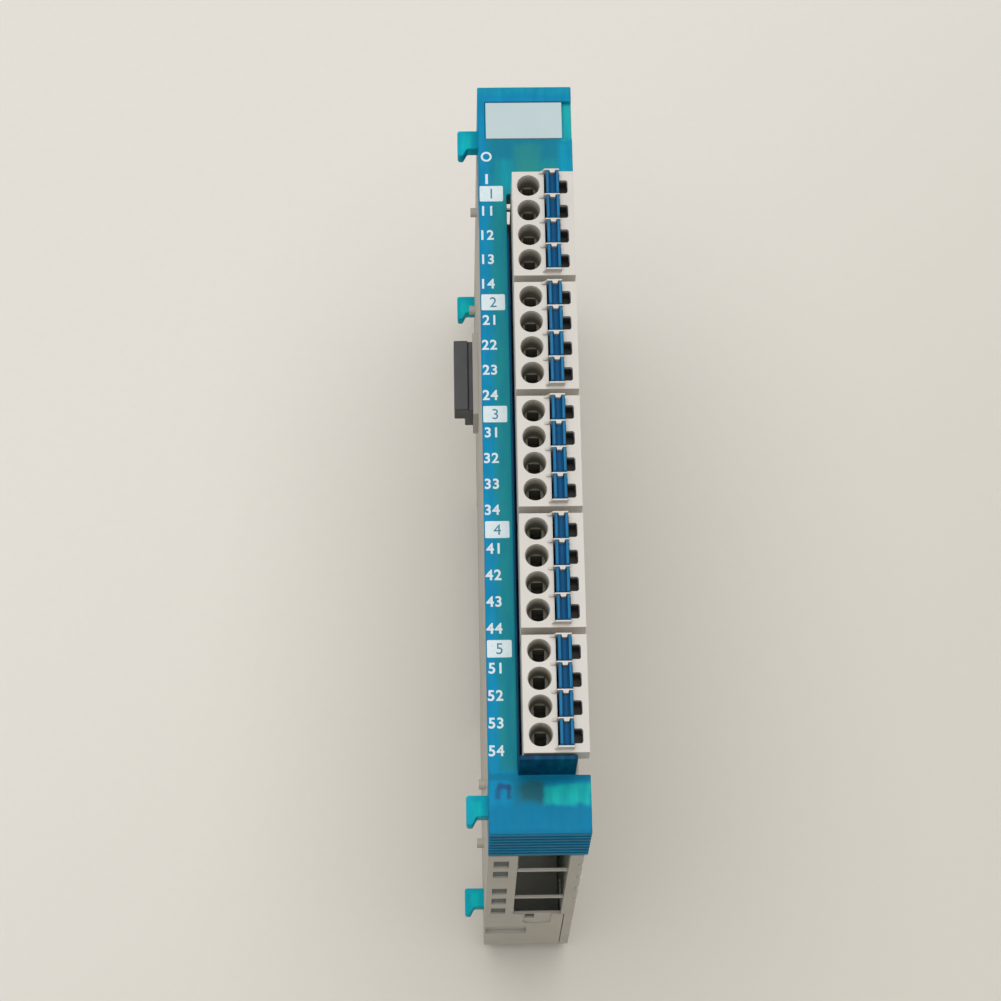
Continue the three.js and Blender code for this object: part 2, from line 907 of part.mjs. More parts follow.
function lidVents() {
  const vents = [];
  const xSpan = [lidInnerX - PAST, lidOuterX + PAST];
  const zSpan = [sideVent.rearEnd, headerLowZ - sideVent.belowHeader];
  for (const start of sideVent.starts) {
    for (let i = 0; i < sideVent.count; i += 1) {
      vents.push(block(xSpan, span(start + i * sideVent.pitch, vent.width), zSpan));
    }
  }
  return vents;
}

function buildLid() {
  const wall = prism("x", [lidInnerX, lidOuterX], sideOutline(lidFrontEdge()));
  const through = [lidInnerX - PAST, lidOuterX + PAST];
  const holes = pegPlaces().map((place) =>
    prism("x", through, circle(place, peg.radius + peg.room, peg.segments)),
  );
  const socketOpening = block(through, ...busBaseSpans(bus.socketWall + fit.running));
  const lid = cut(
    join(wall, lidFlange(-1), lidFlange(1)),
    ...holes,
    socketOpening,
    hookEntry(-1),
    hookEntry(1),
    ...cornerNotches(),
    ...lidVents(),
  );
  addPart("housing_right", lid, housingGrey);
}

// --- Circuit board and what is on it -----------------------------------------------------------

function polesOf(index) {
  const topY = plugBaseY + (plug.count - 1 - index) * plugPitch + plugLength;
  return Array.from({ length: pole.count }, (_, i) => topY - pole.fromTop - i * pole.pitch);
}

function buildBoard() {
  const half = barInnerY - board.endGap;
  let solid = block([boardLeftX, boardRightX], [-half, half], [shell.wall + board.floorGap, boardTopZ]);
  const hole = header.tail + 2 * board.holeRoom;
  const zSpan = span(headerLowZ + header.tailHeight, hole);
  for (let i = 0; i < plug.count; i += 1) {
    for (const y of polesOf(i)) {
      solid = cut(solid, block([boardLeftX - PAST, boardRightX + PAST], span(y, hole), zSpan));
    }
  }
  addPart("circuit_board", solid, boardGreen);
}

function buildHeader(index) {
  const lowY = plugBaseY + (plug.count - 1 - index) * plugPitch + plug.noseInset - header.noseRoom;
  const highY = lowY + plugLength - 2 * plug.noseInset + 2 * header.noseRoom;
  const outside = block(
    [headerLeftX, headerRightX],
    [lowY - header.endWall, highY + header.endWall],
    [headerLowZ, headerTopZ],
  );
  const room = block(
    [headerLeftX + header.leftWall, headerRightX - header.rightWall],
    [lowY, highY],
    [headerFloorZ, headerTopZ + PAST],
  );
  const pinZ = [headerFloorZ - WELD, headerFloorZ + header.pinTop];
  const tailX = [boardLeftX - header.tailOut, headerLeftX + WELD];
  const tailZ = span(headerLowZ + header.tailHeight, header.tail);
  const pins = polesOf(index).map((y) =>
    join(
      block(span(pinX, header.pin), span(y, header.pin), pinZ),
      block(tailX, span(y, header.tail), tailZ),
    ),
  );
  addPart(`header_${index + 1}`, join(cut(outside, room), ...pins), headerGrey);
}

function onBoard(thickness, { y, z, length, height }) {
  return block([headerLeftX, headerLeftX + thickness], span(y, length), span(z, height));
}

function buildComponents() {
  addPart("converter_chip", onBoard(converter.thickness, converter), chipBlack);
  addPart("processor_chip", onBoard(processor.thickness, processor), chipBlack);
  addPart("transformer", onBoard(transformer.thickness, transformer), chipBlack);
  for (let i = 0; i < capacitor.count; i += 1) {
    const place = [capacitor.y, capacitor.z - i * capacitor.pitch];
    const outline = circle(place, capacitor.radius, capacitor.segments);
    const can = prism("x", [headerLeftX, headerLeftX + capacitor.length], outline);
    addPart(`capacitor_${i + 1}`, can, canAluminium);
  }
}

function buildLights() {
  const firstY = endY - lightGuide.firstFromTop;
  const xSpan = [boardLeftX, boardRightX];
  const baseZ = boardTopZ + fit.seat;
  let guideSolid = block(
    xSpan,
    [firstY - lightGuide.pitch - lightGuide.post, firstY + lightGuide.post],
    [baseZ, baseZ + lightGuide.base],
  );
  for (let i = 0; i < light.count; i += 1) {
    const y = firstY - i * lightGuide.pitch;
    guideSolid = join(guideSolid, block(xSpan, span(y, lightGuide.post), [baseZ, plateZ - lightGuide.gap]));
    const lamp = block(
      [headerLeftX, headerLeftX + light.width],
      span(y, light.length),
      [boardTopZ - light.height, boardTopZ],
    );
    addPart(`status_light_${i + 1}`, lamp, lightWhite);
  }
  addPart("light_guide", guideSolid, clearPlastic);
}

// --- Terminal plugs ----------------------------------------------------------------------------

function plugShape(lowY) {
  const highY = lowY + plugLength;
  const stripLeft = leverLeftX - plug.stripLeft;
  const stripRight = leverRightX + plug.stripRight;
  const poleHigh = highY - pole.fromTop + leverLength / 2 + plug.stripMargin;
  const poleLow = highY - pole.fromTop - (pole.count - 1) * pole.pitch - leverLength / 2 - plug.stripMargin;
  const strip = prism(
    "y",
    [poleLow, poleHigh],
    [
      [stripLeft - plug.stripSlope, faceZ - WELD],
      [stripLeft - plug.stripSlope, faceZ],
      [stripLeft, faceZ + plug.strip],
      [stripRight, faceZ + plug.strip],
      [stripRight, faceZ - WELD],
    ],
  );
  return join(
    block([plugLeftX, plugRightX], [lowY, highY], [faceZ - plug.head, faceZ]),
    block([plugLeftX, headerRightX], [lowY, highY], [shoulderZ, faceZ]),
    block(
      [plugLeftX + plug.noseLeft, headerRightX - header.rightWall - header.noseRoom],
      [lowY + plug.noseInset, highY - plug.noseInset],
      [noseZ, shoulderZ + WELD],
    ),
    strip,
  );
}

// The opening for a test probe beside one lever, with its right corners cut off.
function testOpening(y) {
  const right = plugRightX - testHole.rightMargin;
  const left = right - testHole.width;
  const [low, high] = [y - testHole.below, y + testHole.above];
  return prism("z", [faceZ - testHole.depth, faceZ + PAST], [
    [left, low],
    [right - testHole.corner, low],
    [right, low + testHole.corner],
    [right, high - testHole.corner],
    [right - testHole.corner, high],
    [left, high],
  ]);
}

// What is cut out of a plug for one pole: wire funnel, throat, lever pocket, test opening and cavity.
function poleCuts(y) {
  const funnelLow = faceZ - pole.funnelDepth;
  const slope = (pole.holeRadius - pole.throatRadius) / pole.funnelDepth;
  const cavityLeft = plugLeftX + plug.sideWall + plug.noseLeft;
  const noseRight = headerRightX - header.rightWall - header.noseRoom;
  const pocketHalf = leverLength / 2 + fit.seat;
  return [
    funnel(
      [holeX, y],
      [funnelLow, faceZ + PAST],
      [pole.throatRadius, pole.holeRadius + slope * PAST],
      pole.segments,
    ),
    block(span(holeX, pole.throatWidth), span(y, pole.throatLength), [webZ - PAST, funnelLow + PAST]),
    block(
      [leverLeftX - lever.pocketLeft, leverRightX + fit.seat],
      [y - pocketHalf, y + pocketHalf],
      [webZ - PAST, faceZ + PAST],
    ),
    block(
      [plugLeftX, plugRightX],
      [y - pocketHalf, y + pocketHalf],
      [faceZ, faceZ + plug.strip + PAST],
    ),
    testOpening(y),
    block([cavityLeft, bodyInnerX], span(y, cavityLength + 2 * fit.seat), [shoulderZ + fit.seat, webZ]),
    block(
      [cavityLeft, noseRight - plug.sideWall],
      span(y, cavityLength),
      [noseZ - PAST, shoulderZ + PAST],
    ),
  ];
}

// The small nub on the bar above each lever, which stands in the notch of that lever.
function pocketNub(y) {
  const middle = leverLeftX + lever.width / 2;
  const base = y + leverLength / 2 + fit.seat;
  const half = lever.nubWidth / 2;
  const tip = lever.nubTip / 2;
  const root = base + (lever.gap - 2 * fit.seat) / 2;
  return prism("z", [faceZ - lever.travel, faceZ + plug.strip], [
    [middle - half, root],
    [middle - half, base],
    [middle - tip, base - lever.nubLength],
    [middle + tip, base - lever.nubLength],
    [middle + half, base],
    [middle + half, root],
  ]);
}

function buildPlugHousing(index, group) {
  const lowY = plugBaseY + (plug.count - 1 - index) * plugPitch;
  const poles = polesOf(index);
  const slotX = [clampLeftX - clamp.slotRoom, clampRightX + clamp.slotRoom];
  const slotTop = noseZ + clamp.bridgeHeight + clamp.strip + clamp.slotRoom;
  const combSlot = block(slotX, [poles[pole.count - 1], poles[0]], [noseZ - PAST, slotTop]);
  const hollow = cut(plugShape(lowY), ...poles.flatMap(poleCuts), combSlot);
  addPart(`plug_${index + 1}_housing`, join(hollow, ...poles.map(pocketNub)), plugGrey, group);
}

function buildLever(index, poleIndex, group) {
  const y = polesOf(index)[poleIndex];
  const middle = leverLeftX + lever.width / 2;
  const topZ = faceZ + lever.rim;
  const footZ = faceZ - lever.reach;
  const [lowY, highY] = span(y, leverLength);
  const stem = block([leverLeftX, leverRightX], [lowY, highY], [footZ, topZ]);
  const footX = [leverLeftX - lever.footLength, leverRightX];
  const foot = block(footX, [lowY, highY], [footZ, footZ + lever.footHeight]);
  const grooveZ = [topZ - lever.grooveDepth, topZ + PAST];
  const groove = block(span(middle, lever.grooveWidth), [lowY - PAST, highY + PAST], grooveZ);
  const half = lever.nubWidth / 2 + fit.seat;
  const tip = lever.nubTip / 2 + fit.seat;
  const notch = prism("z", [faceZ - lever.travel - fit.seat, topZ + PAST], [
    [middle - tip, highY - lever.nubLength],
    [middle + tip, highY - lever.nubLength],
    [middle + half, highY + fit.seat],
    [middle - half, highY + fit.seat],
  ]);
  const solid = cut(join(stem, foot), groove, notch);
  addPart(`plug_${index + 1}_lever_${poleIndex + 1}`, solid, leverBlue, group);
}

// The four clamps of one plug: two fingers for each header pin, and a spring that bends up to the lever.
function buildClamps(index, group) {
  const bridgeZ = noseZ + clamp.bridgeHeight;
  const [left, right] = [clampLeftX, clampRightX];
  const poles = polesOf(index);
  const half = clampWidth / 2;
  const combY = [poles[pole.count - 1] - half, poles[0] + half];
  const comb = block([left, right], combY, [bridgeZ, bridgeZ + clamp.strip]);
  const springReach = bodyInnerX - fit.seat - clamp.strip / 2 - left;
  const bends = clamp.bends.map(([across, up]) => [
    left + springReach * across,
    bridgeZ + clamp.springRise * up,
  ]);
  const springPath = [[right - clamp.strip, bridgeZ + clamp.strip / 2], ...bends];
  const legZ = [noseZ + clamp.strip, bridgeZ + clamp.strip];
  const clamps = poles.map((y) =>
    join(
      block([left, left + clamp.strip], span(y, clampWidth), legZ),
      block([right - clamp.strip, right], span(y, clampWidth), legZ),
      prism("y", span(y, clampWidth), stripOutline(springPath, clamp.strip)),
    ),
  );
  addPart(`plug_${index + 1}_clamps`, join(comb, ...clamps), springSteel, group);
}

function buildPlug(index) {
  const group = new THREE.Group();
  buildPlugHousing(index, group);
  for (let i = 0; i < pole.count; i += 1) {
    buildLever(index, i, group);
  }
  buildClamps(index, group);
  model.add(group);
}

// --- Bus connectors ------------------------------------------------------------------------------

function buildBusPlug() {
  const tip = leftX - bus.reach;
  const base = tip + bus.noseLength;
  const nose = block([tip, base + WELD], ...busNoseSpans(0));
  const body = block([base, boardLeftX - fit.seat], ...busBaseSpans(0));
  const slit = block(
    [tip - PAST, tip + bus.slitDepth],
    span(bus.y, bus.slitLength),
    span(bus.z, bus.slit),
  );
  addPart("bus_plug", cut(join(body, nose), slit), connectorGrey);
}

// The socket that takes a neighbour's bus plug: a mouth for its base and a room for its nose.
function buildBusSocket() {
  const outside = block([headerLeftX, lidOuterX], ...busBaseSpans(bus.socketWall));
  const floorX = lidOuterX - bus.socketDepth;
  const mouth = block([lidOuterX - bus.mouthDepth, lidOuterX + PAST], ...busBaseSpans(bus.room));
  const room = block([floorX, lidOuterX + PAST], ...busNoseSpans(bus.room));
  const blade = block(
    [floorX - WELD, lidOuterX - bus.mouthDepth],
    span(bus.y, bus.bladeLength),
    span(bus.z, bus.blade),
  );
  addPart("bus_socket", join(cut(outside, mouth, room), blade), connectorGrey);
}

// --- Lock bars -----------------------------------------------------------------------------------

function hookOutline(middle) {
  const [lowY, highY] = span(middle, lockBar.height);
  const tipX = leftX - lockBar.reach;
  const barbY = lowY - lockBar.barb;
  const flatX = tipX + lockBar.barbFlat;
  const root = innerX + fit.slide + lockBar.thickness / 2;
  return [
    [root, highY],
    [tipX + lockBar.corner, highY],
    [tipX, highY - lockBar.corner],
    [tipX, barbY + lockBar.corner],
    [tipX + lockBar.corner, barbY],
    [flatX, barbY],
    [flatX + lockBar.barbSlope, lowY],
    [root, lowY],
  ];
}

function buildLockBar(name, side) {
  const middle = side * barY;
  const left = innerX + fit.slide;
  const centreZ = (barLowZ + barHighZ) / 2;
  const [lowY, highY] = span(middle, lockBar.height);
  const bar = block([left, left + lockBar.thickness], [lowY, highY], [barLowZ, barHighZ]);
  const notch = block(
    [left - PAST, left + lockBar.thickness + PAST],
    [highY - lockBar.springNotch, highY + PAST],
    span(centreZ, lockBar.springLength + 2 * fit.running),
  );
  const hooks = [frontHookZ, rearHookZ].map((z) =>
    prism("z", span(z, lockBar.hookThickness), hookOutline(middle)),
  );
  addPart(`${name}_lock_bar`, join(cut(bar, notch), ...hooks), translucentTeal);

  const half = lockBar.springLength / 2;
  const seatY = highY - lockBar.springNotch + fit.seat + coil.wire / 2;
  const crownY = highY - coil.wire / 2 - fit.seat;
  const shoulderY = seatY + (crownY - seatY) * lockBar.springShoulder;
  const path = [
    [seatY, centreZ - half],
    [shoulderY, centreZ - half / 2],
    [crownY, centreZ],
    [shoulderY, centreZ + half / 2],
    [seatY, centreZ + half],
  ];
  const xSpan = [left + fit.running, left + lockBar.thickness - fit.running];
  const leaf = prism("x", xSpan, stripOutline(path, coil.wire));
  addPart(`${name}_lock_spring`, leaf, springSteel);
}

// --- Rail latch ------------------------------------------------------------------------------------

function buildLatch() {
  const body = prism("y", [-latch.end, -seatHalf], latchSection(0, rearZ + latch.floorGap));
  const top = -rail.lip - rail.play;
  const claw = prism("x", span(0, latch.width), clawOutline(-1, [top, rearZ + shell.inset]));
  const window = block(
    span(0, latch.windowWidth),
    [-latch.windowTo, -latch.windowFrom],
    [rearZ - PAST, 0],
  );
  const pullSlot = block(
    span(0, latch.windowWidth),
    [-latch.end + latch.pullSlot, -latch.end + 2 * latch.pullSlot],
    [rearZ - PAST, 0],
  );
  const solid = cut(join(body, claw), window, pullSlot).translate([latchX(), 0, 0]);
  addPart("rail_latch", solid, latchGrey);
}

// A coil spring along Y between the post and the latch, made as one unbroken tube.
function buildLatchSpring() {
  const from = -latch.windowTo + fit.running + latch.post + fit.seat + coil.wire;
  const to = -latch.windowFrom - fit.seat - coil.wire;
  const centreZ = (-latch.top + rearZ + latch.floorGap) / 2;
  const steps = coil.turns * coil.stepsPerTurn;
  const points = [];
  for (let i = 0; i <= steps; i += 1) {
    const angle = (2 * Math.PI * i) / coil.stepsPerTurn;
    const share = i / steps;
    points.push(
      new THREE.Vector3(
        latchX() + coil.radius * Math.cos(angle),
        from + (to - from) * share,
        centreZ + coil.radius * Math.sin(angle),
      ),
    );
  }
  const section = new THREE.Shape(
    circle([0, 0], coil.wire, coil.sides).map(([u, v]) => new THREE.Vector2(u, v)),
  );
  const geometry = new THREE.ExtrudeGeometry(section, {
    steps,
    bevelEnabled: false,
    extrudePath: new THREE.CatmullRomCurve3(points),
  });
  addPart("rail_latch_spring", solidOf(geometry), springSteel);
}

// ---------------------------------------------------------------------------------------------
// Assembly
// ---------------------------------------------------------------------------------------------

buildCover();
buildMarker();
buildTub();
buildLid();
buildBoard();
for (let i = 0; i < plug.count; i += 1) {
  buildHeader(i);
  buildPlug(i);
}
buildComponents();
buildLights();
buildBusPlug();
buildBusSocket();
buildLockBar("lower", -1);
buildLockBar("upper", 1);
buildLatch();
buildLatchSpring();

export default model;
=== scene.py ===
"""Looks of a slim input/output module for the rail of a control cabinet.

The module lies on its rear feet on a pale floor. +Z points out of its front, +Y runs along its length
towards the marker plate, and +X is to the right seen from the front. Sizes below are in millimetres in
that frame, and each shape is scaled to metres as it becomes an object. The studio's places are in metres.
"""

import logging
import math
import random
from collections.abc import Callable, Sequence
from dataclasses import dataclass, field
from enum import Enum

import bmesh
import bpy
from mathutils import Euler, Matrix, Vector


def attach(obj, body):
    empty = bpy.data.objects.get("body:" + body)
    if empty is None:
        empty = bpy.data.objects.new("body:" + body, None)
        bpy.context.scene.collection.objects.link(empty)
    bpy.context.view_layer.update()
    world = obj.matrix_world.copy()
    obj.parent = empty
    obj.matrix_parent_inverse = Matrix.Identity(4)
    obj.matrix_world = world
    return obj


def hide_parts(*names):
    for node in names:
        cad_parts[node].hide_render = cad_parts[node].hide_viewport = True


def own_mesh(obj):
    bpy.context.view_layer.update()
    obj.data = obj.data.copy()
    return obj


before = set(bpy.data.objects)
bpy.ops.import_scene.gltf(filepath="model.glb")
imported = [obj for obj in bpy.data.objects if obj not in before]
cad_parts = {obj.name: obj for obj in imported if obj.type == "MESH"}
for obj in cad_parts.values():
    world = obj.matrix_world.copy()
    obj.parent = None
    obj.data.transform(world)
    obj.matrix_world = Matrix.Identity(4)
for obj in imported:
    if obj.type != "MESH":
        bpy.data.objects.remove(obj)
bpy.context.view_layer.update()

MM = 0.001
HOUSING = "housing"  # the body that all others move against
LOG = logging.getLogger("module")

PLAY = 0.01  # the gap between a lining and the wall beside it
SINK = 0.02  # how far one piece goes into the next
WELD_REACH = 0.002  # points of a node that are closer than this become one
FLAT_ANGLE = 0.7  # faces that turn by fewer degrees become one
SHARP_ANGLE = 34  # edges that turn by more degrees stay sharp
SENSOR = 36  # the width of the camera's sensor
EVEN = (0.3, 0.7)  # the part of soft noise that is spread over a whole range

Colour = tuple[float, float, float]
Pair = tuple[float, float]
Point = tuple[float, float, float]
Socket = bpy.types.NodeSocket
Tree = bpy.types.NodeTree
Material = bpy.types.Material
Piece = bpy.types.Object


def screen(red: int, green: int, blue: int) -> Colour:
    """Turns an 8-bit screen colour into the linear one that shaders take.

    Args:
        red: Red, 0 to 255.
        green: Green, 0 to 255.
        blue: Blue, 0 to 255.

    Returns:
        The linear colour.
    """
    shares = (value / 255 for value in (red, green, blue))
    linear = (s / 12.92 if s <= 0.04045 else ((s + 0.055) / 1.055) ** 2.4 for s in shares)
    return tuple(linear)


class Slot(str, Enum):
    """The record's material slots, named for each new piece."""

    COVER = "translucent_blue"
    MARKER = "marker_white"
    HOUSING = "housing_grey"
    PLUG = "plug_grey"
    LEVER = "lever_blue"
    CONNECTOR = "connector_grey"
    CHIP = "chip_black"
    SPRING = "spring_steel"
    CAN = "can_aluminium"


class Axis(Enum):
    """An axis, by its place in a point."""

    X = 0
    Y = 1
    Z = 2


class Operation(Enum):
    """A way to make one value of two."""

    ADD = "ADD"
    SUBTRACT = "SUBTRACT"
    MULTIPLY = "MULTIPLY"
    MAXIMUM = "MAXIMUM"


# ------------------------------------------------------------------------------------------------
# Finishes
# ------------------------------------------------------------------------------------------------


def combined(tree: Tree, first: Socket, second: Socket | float, how: Operation) -> Socket:
    """Makes one value of two.

    Args:
        tree: The nodes that it is part of.
        first: The first value.
        second: The second value.
        how: The way in which they are combined.

    Returns:
        The result.
    """
    node = tree.nodes.new("ShaderNodeMath")
    node.operation = how.value
    tree.links.new(first, node.inputs[0])
    if isinstance(second, Socket):
        tree.links.new(second, node.inputs[1])
    else:
        node.inputs[1].default_value = second
    return node.outputs[0]


def mixed(tree: Tree, share: Socket, first: Socket, second: Socket) -> Socket:
    """Mixes two shaders.

    Args:
        tree: The nodes that they are part of.
        share: How much of the second shader shows.
        first: The first shader.
        second: The second shader.

    Returns:
        The mixed shader.
    """
    node = tree.nodes.new("ShaderNodeMixShader")
    for place, source in enumerate((share, first, second)):
        tree.links.new(source, node.inputs[place])
    return node.outputs[0]


def seen_rays(tree: Tree) -> Socket:
    """Tells the rays that show a backdrop from those that light the object.

    Args:
        tree: The nodes of a material or of the world.

    Returns:
        1 for a ray from the camera, by a reflection or through glass, and else 0.
    """
    path = tree.nodes.new("ShaderNodeLightPath")
    seen = path.outputs["Is Camera Ray"]
    for ray in ("Is Glossy Ray", "Is Transmission Ray"):
        seen = combined(tree, seen, path.outputs[ray], Operation.MAXIMUM)
    return seen


def shade(colour: Colour, factor: float) -> Colour:
    """Makes a colour lighter or darker."""
    return tuple(min(1.0, channel * factor) for channel in colour)


class NodeGraph:
    """The nodes of one material around a Principled shader, in the object's own coordinates."""

    def __init__(self, name: str) -> None:
        """Starts a material.

        Args:
            name: The material's name.
        """
        self.material = bpy.data.materials.new(name)
        self.material.use_nodes = True
        self.tree = self.material.node_tree
        self.tree.nodes.clear()
        self.output = self.tree.nodes.new("ShaderNodeOutputMaterial")
        self.shader = self.tree.nodes.new("ShaderNodeBsdfPrincipled")
        self.join(self.shader.outputs[0], self.output.inputs["Surface"])
        self.place = self.tree.nodes.new("ShaderNodeTexCoord").outputs["Object"]

    def join(self, source: Socket, target: Socket) -> None:
        """Links one socket to another."""
        self.tree.links.new(source, target)

    def plain(self, **values: float | Sequence[float]) -> None:
        """Sets values on the shader's own sockets.

        Args:
            **values: The sockets' names with underscores for spaces, and their values.
        """
        for name, value in values.items():
            self.shader.inputs[name.replace("_", " ")].default_value = value

    def drive(self, name: str, source: Socket) -> None:
        """Links a pattern to one of the shader's sockets."""
        self.join(source, self.shader.inputs[name])

    def stretched(self, stretch: Point) -> Socket:
        """The object's coordinates, scaled on each axis.

        Args:
            stretch: The factor for each axis.

        Returns:
            The scaled coordinates.
        """
        node = self.tree.nodes.new("ShaderNodeMapping")
        node.inputs["Scale"].default_value = stretch
        self.join(self.place, node.inputs["Vector"])
        return node.outputs["Vector"]

    def clouds(self, size: float, detail: float, stretch: Point = (1, 1, 1)) -> Socket:
        """Soft noise.

        Args:
            size: The size of its patches in millimetres.
            detail: How many finer layers it has.
            stretch: How much finer it is along each axis.

        Returns:
            The noise, from 0 to 1.
        """
        node = self.tree.nodes.new("ShaderNodeTexNoise")
        node.inputs["Scale"].default_value = 1 / (size * MM)
        node.inputs["Detail"].default_value = detail
        self.join(self.stretched(stretch), node.inputs["Vector"])
        return node.outputs["Fac"]

    def cells(self, size: float) -> Socket:
        """Small cells, as the spark-eroded skin of a mould leaves them.

        Args:
            size: The size of a cell in millimetres.

        Returns:
            The distance to the middle of the cell.
        """
        node = self.tree.nodes.new("ShaderNodeTexVoronoi")
        node.inputs["Scale"].default_value = 1 / (size * MM)
        self.join(self.place, node.inputs["Vector"])
        return node.outputs["Distance"]

    def along(self, axis: Axis) -> Socket:
        """The object's own coordinate on one axis.

        Args:
            axis: The axis.

        Returns:
            The coordinate, in metres.
        """
        node = self.tree.nodes.new("ShaderNodeSeparateXYZ")
        self.join(self.place, node.inputs[0])
        return node.outputs[axis.value]

    def spread(self, source: Socket, before: Pair, after: Pair) -> Socket:
        """Maps one range of a value to another, clamped.

        Args:
            source: The value.
            before: The range that it has.
            after: The range that it gets.

        Returns:
            The mapped value.
        """
        node = self.tree.nodes.new("ShaderNodeMapRange")
        for name, value in zip(("From Min", "From Max", "To Min", "To Max"), (*before, *after)):
            node.inputs[name].default_value = value
        self.join(source, node.inputs["Value"])
        return node.outputs["Result"]

    def patches(self, size: float, detail: float, after: Pair = (0, 1), stretch: Point = (1, 1, 1)) -> Socket:
        """Soft noise that fills a range."""
        return self.spread(self.clouds(size, detail, stretch), EVEN, after)

    def step(self, source: Socket, low: float, high: float) -> Socket:
        """A smooth step from 0 to 1.

        Args:
            source: The value that it goes by.
            low: The value at which it starts.
            high: The value at which it ends.

        Returns:
            The step.
        """
        mapped = self.spread(source, (low, high), (0, 1))
        mapped.node.interpolation_type = "SMOOTHSTEP"
        return mapped

    def times(self, first: Socket, second: Socket | float) -> Socket:
        """Multiplies two values."""
        return combined(self.tree, first, second, Operation.MULTIPLY)

    def blend(self, share: Socket, first: Socket | Colour, second: Socket | Colour) -> Socket:
        """Mixes two colours.

        Args:
            share: How much of the second colour shows.
            first: The first colour.
            second: The second colour.

        Returns:
            The mixed colour.
        """
        node = self.tree.nodes.new("ShaderNodeMix")
        node.data_type = "RGBA"
        self.join(share, node.inputs[0])
        for place, colour in ((6, first), (7, second)):
            if isinstance(colour, Socket):
                self.join(colour, node.inputs[place])
            else:
                node.inputs[place].default_value = (*colour, 1)
        return node.outputs[2]

    def roughen(self, roughness: float, span: Pair, pattern: Socket) -> None:
        """Lets a pattern change how matt the surface is.

        Args:
            roughness: How matt it is by itself.
            span: How much less matt and how much more it gets.
            pattern: The pattern, as soft noise.
        """
        ends = (roughness - span[0], roughness + span[1])
        self.drive("Roughness", self.spread(pattern, EVEN, ends))

    def relief(self, height: Socket, depth: float, strength: float = 1.0) -> None:
        """Gives the surface a fine relief.

        Args:
            height: The pattern of the relief.
            depth: Its depth in millimetres.
            strength: How much of it shows.
        """
        node = self.tree.nodes.new("ShaderNodeBump")
        node.inputs["Distance"].default_value = depth * MM
        node.inputs["Strength"].default_value = strength
        self.join(height, node.inputs["Height"])
        self.drive("Normal", node.outputs["Normal"])


@dataclass(frozen=True)
class Finish:
    """What all finishes share.

    Attributes:
        name: The material's name.
        colour: Its colour.
    """

    name: str
    colour: Colour

    def make(self) -> Material:
        """Makes the material.

        Returns:
            The material.
        """
        graph = NodeGraph(self.name)
        self.paint(graph)
        return graph.material

    def paint(self, graph: NodeGraph) -> None:
        """Gives the shader its patterns, in each finish's own way."""
        raise NotImplementedError


@dataclass(frozen=True)
class MouldedPlastic(Finish):
    """Opaque moulded plastic with the fine skin of a spark-eroded mould.

    Attributes:
        roughness: How matt it is.
        skin: Depth of the skin's relief in millimetres.
        grain: Size of the skin's grain in millimetres.
        drift: How far the colour drifts over the surface.
        cloud: Size of the patches of colour in millimetres.
        worn: Size of the patches that are more or less matt, in millimetres.
        span: How much less matt and how much more they are.
    """

    roughness: float = 0.5
    skin: float = 0.012
    grain: float = 0.16
    drift: float = 0.06
    cloud: float = 9.0
    worn: float = 2.5
    span: Pair = (0.05, 0.07)

    def paint(self, graph: NodeGraph) -> None:
        """Gives the plastic its drifting colour and its skin.

        Args:
            graph: The material's nodes.
        """
        darker, lighter = shade(self.colour, 1 - self.drift), shade(self.colour, 1 + self.drift)
        graph.drive("Base Color", graph.blend(graph.patches(self.cloud, 3), darker, lighter))
        graph.roughen(self.roughness, self.span, graph.clouds(self.worn, 4))
        graph.relief(graph.cells(self.grain), self.skin)
        graph.plain(IOR=1.5)


@dataclass(frozen=True)
class Zone:
    """A soft-edged area of see-through plastic whose tone stands for what lies behind it; some zones are
    painted shade and painted light.

    Attributes:
        x: Its two sides, in millimetres.
        y: Its two ends, in millimetres.
        tone: Its colour.
        soft: How far its edge fades, in millimetres.
        share: How much of the tone shows.
        above: The height from which it shows, in millimetres.
    """

    x: Pair
    y: Pair
    tone: Colour
    soft: float = 0.5
    share: float = 1.0
    above: float = 0.0

    def mask(self, graph: NodeGraph, across: Socket, along: Socket) -> Socket:
        """How much of the tone shows at each place.

        Args:
            graph: The material that it is part of.
            across: The place on X, in metres.
            along: The place on Y, in metres.

        Returns:
            The share of the tone, from 0 to 1.
        """
        half = self.soft / 2
        mask = None
        for place, (low, high) in ((across, self.x), (along, self.y)):
            rise = graph.step(place, (low - half) * MM, (low + half) * MM)
            fall = graph.step(place, (high + half) * MM, (high - half) * MM)
            inside = graph.times(rise, fall)
            mask = inside if mask is None else graph.times(mask, inside)
        if self.above:
            high = graph.step(graph.along(Axis.Z), self.above * MM, (self.above + self.soft) * MM)
            mask = graph.times(mask, high)
        return graph.times(mask, self.share)


